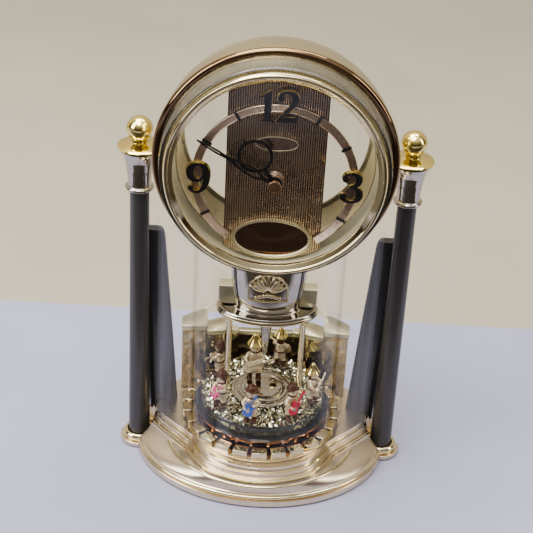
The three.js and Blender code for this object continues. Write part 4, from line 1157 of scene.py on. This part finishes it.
def shards(m):
    """Crushed foil: many small tilted chips lying on the disc."""
    verts, faces = [], []
    for _ in range(3400):
        r = 41.4 * math.sqrt(random.uniform(0.24, 1.0))
        t = random.uniform(0, 2 * math.pi)
        centre = Vector((r * math.cos(t), r * math.sin(t), random.uniform(45.8, 46.4)))
        size = random.uniform(0.6, 1.7)
        spin = random.uniform(0, 2 * math.pi)
        tilt = Vector((random.uniform(-0.7, 0.7), random.uniform(-0.7, 0.7), 1)).normalized()
        side = tilt.orthogonal().normalized()
        side = Matrix.Rotation(spin, 3, tilt) @ side
        other = tilt.cross(side)
        start = len(verts)
        ring = [side * size, other * size * 0.5, -side * size * 0.8, -other * size * 0.6]
        verts += [tuple(centre + p) for p in ring]
        verts.append(tuple(centre - tilt * 0.25))
        faces += [(start, start + 1, start + 2, start + 3)]
        faces += [(start + (k + 1) % 4, start + k, start + 4) for k in range(4)]
    chips = new_object("foil_chips", verts, faces, m["foil"], smooth=False)
    place(chips, "pendulum", slot="crystal")


# ---- musicians ----------------------------------------------------------------------
def guitar(m, color, tilt=22.0):
    """A small electric guitar held across the player, its neck rising to the player's left."""
    body = [(-4.2, -1.4), (-1.4, -2.6, -3.4, -3.2), (1.2, -1.8, 0.2, -1.9), (3.2, -2.5, 2.4, -2.6),
            (2.8, 0.0, 2.2, -0.6), (3.6, 2.4, 3.0, 1.6), (1.0, 1.7, 2.2, 2.5), (-1.6, 2.5, -0.2, 1.7),
            (-4.2, -1.4, -5.2, 1.6)]
    parts = [
        flat_piece("body", [bezier(body, 6)], -5.1, -3.9, [m[color]], 0.3),
        flat_piece("guard", [circle_outline(-0.6, 0, 1.3, 0.7, 20)], -5.3, -5.0, [m["coat"]], 0.08),
        block("neck", (2.4, -5.2, -0.42), (7.6, -4.4, 0.42), m[color], 0.12, 2),
        flat_piece("head", [[(7.5, -0.5), (9.6, -0.9), (9.9, 0.6), (7.5, 0.7)]], -5.2, -4.5, [m[color]], 0.1),
    ]
    for k in range(4):
        z = -0.27 + 0.18 * k
        parts.append(swept("string", [(-2.4, -5.36, z), (8.8, -5.3, z)], 0.05, m["chrome"], 8))
    tool = joined("guitar", parts)
    tool.data.transform(Matrix.Diagonal((1.16, 1.0, 1.22, 1)))
    tool.data.transform(Matrix.Rotation(math.radians(-tilt), 4, "Y"))
    move(tool, -0.6, 0.0, 11.4)
    return tool


def player(m, color, hat="brim", scale=1.15, tilt=22.0):
    """One small doll-like musician facing -Y with feet at z = 0: gilt coat, lacquered hat and boots."""
    coat, brown = m["coat"], m["brown"]
    parts = []
    for side in (-1, 1):
        cuff = [(1.1, 4.6), (1.8, 4.7), (1.9, 5.4), (1.2, 5.6)]
        parts += [
            ball("boot", (side * 2.3, -1.2, 1.3), (1.5, 2.6, 1.3), brown, 16, 8),
            tapered("shin", [(side * 2.2, 0, 1.6, 1.25), (side * 2.1, 0.1, 4.6, 1.45)], brown),
            tapered("thigh", [(side * 2.1, 0.1, 4.8, 1.3), (side * 1.7, 0, 8.6, 1.8)], coat),
            turned_ring("cuff", cuff, coat, 0.2, 2, centre=(side * 2.1, 0, 0), sides=20),
        ]
    shape = [(0, 7.0), (3.6, 6.8), (4.0, 7.2), (3.5, 9.0), (3.0, 10.8), (3.1, 12.6), (3.5, 14.6), (3.1, 16.4),
             (1.9, 17.6), (1.2, 18.2), (0, 18.3)]
    body = turned_soft("jacket", shape, coat, sides=32)
    body.data.transform(Matrix.Diagonal((1, 0.82, 1, 1)))
    belt = turned_ring("belt", [(2.6, 10.3), (3.3, 10.4), (3.3, 11.3), (2.6, 11.4)], brown, 0.15, 2, sides=32)
    belt.data.transform(Matrix.Diagonal((1, 0.86, 1, 1)))
    scarf = turned_ring("scarf", [(1.2, 16.9), (2.5, 17.0), (2.6, 17.9), (1.4, 18.2)], brown, 0.3, sides=28)
    parts += [
        body, belt, scarf,
        tapered("arm", [(-3.0, 0, 15.6, 1.15), (-4.8, -1.4, 13.4, 1.05), (-3.2, -4.0, 11.8, 0.85)], coat),
        tapered("arm", [(3.0, 0, 15.6, 1.15), (4.8, -1.4, 14.4, 1.05), (3.4, -4.2, 14.4, 0.85)], coat),
        ball("hand", (-2.6, -4.9, 11.5), (0.95, 0.8, 0.9), coat, 12, 8),
        ball("hand", (2.6, -5.0, 14.6), (0.9, 0.8, 0.9), coat, 12, 8),
        ball("head", (0, -0.6, 20.0), (2.7, 2.6, 2.7), coat, 28, 18),
        ball("nose", (0, -3.2, 19.8), (0.42, 0.45, 0.42), coat, 10, 6),
        ball("hair", (0, 0.35, 20.9), (3.1, 2.9, 2.9), brown, 28, 18),
    ]
    for side in (-1, 1):
        parts.append(ball("eye", (side * 0.95, -2.95, 20.3), (0.3, 0.2, 0.36), m["black"], 8, 6))
        parts.append(ball("ear", (side * 2.7, -0.8, 19.7), (0.4, 0.6, 0.75), coat, 10, 6))
    cone = [(0, 21.6), (3.9, 21.3), (4.3, 21.7), (3.9, 22.3), (3.0, 23.6), (2.1, 25.4), (1.2, 27.4),
            (0.5, 28.4), (0, 28.6)]
    cap = [(0, 22.3), (3.5, 22.0), (3.7, 22.4), (3.2, 22.9), (2.9, 24.0), (2.2, 25.2), (1.2, 25.8), (0, 25.9)]
    outline, finish = (cone, m["yellow"]) if hat == "cone" else (cap, brown)
    parts.append(turned_soft("hat", outline, finish, 0.3, sides=32))
    parts.append(guitar(m, color, tilt))
    figure = joined("player", parts)
    figure.data.transform(Matrix.Diagonal((scale, scale, scale, 1)))
    return figure


def make_musicians(m):
    places = [
        ("musician_pink", -142.6, 34.6, "pink", "brim", 52),
        ("musician_blue", -101, 36.4, "blue", "brim", 68),
        ("musician_red", -57.4, 36.8, "red", "brim", 60),
        ("musician_gold", -18, 35, "coat", "cone", 22),
        ("musician_rear", 70, 32.5, "coat", "cone", 22),
        ("musician_side", 154, 34, "coat", "brim", 22),
    ]
    for node, degrees, distance, color, hat, tilt in places:
        figure = player(m, color, hat, 1.15, tilt)
        figure.name = node.replace("musician", "player")
        move(figure, 0, -distance, DISC_TOP + 0.2)
        turn_about_z(figure, degrees + 90)
        slot = color if color in ("pink", "blue", "red") else "bright_gold"
        place(figure, "pendulum", [node], slot)
    leader = player(m, "coat", "cone", 1.35)
    leader.name = "player_center"
    move(leader, -6.4, 7, 50.6)
    place(leader, "pendulum", ["musician_center"], "bright_gold")


def make_lights():
    area_light("ceiling", (-0.35, -0.40, 1.6), (0, 0, 0.15), (1.4, 1.0), 22, (1.0, 0.99, 0.96))
    area_light("left_window", (-1.3, -0.6, 0.9), (0, 0, 0.15), (0.8, 1.1), 13, (0.97, 0.98, 1.0))
    area_light("right_fill", (1.2, -0.3, 0.7), (0, 0, 0.15), (0.35, 0.9), 4, (1.0, 0.95, 0.88))
    area_light("back_glow", (0.0, 0.25, 1.3), (0, 0.1, 0.1), (1.2, 0.3), 6, (1.0, 0.98, 0.95))


materials = make_materials()
make_camera()
bpy.context.scene.view_settings.look = "AgX - Medium High Contrast"
make_world()
make_stage()
make_lights()
make_base(materials)
make_block_ring(materials)
make_gallery(materials)
make_columns(materials)
make_covers(materials)
make_head(materials)
make_panel(materials)
make_chapter_ring(materials)
make_numerals(materials)
make_oval(materials)
make_badge(materials)
make_hands(materials)
make_canopy(materials)
make_turntable(materials)
make_musicians(materials)
finish_cad_nodes(materials)
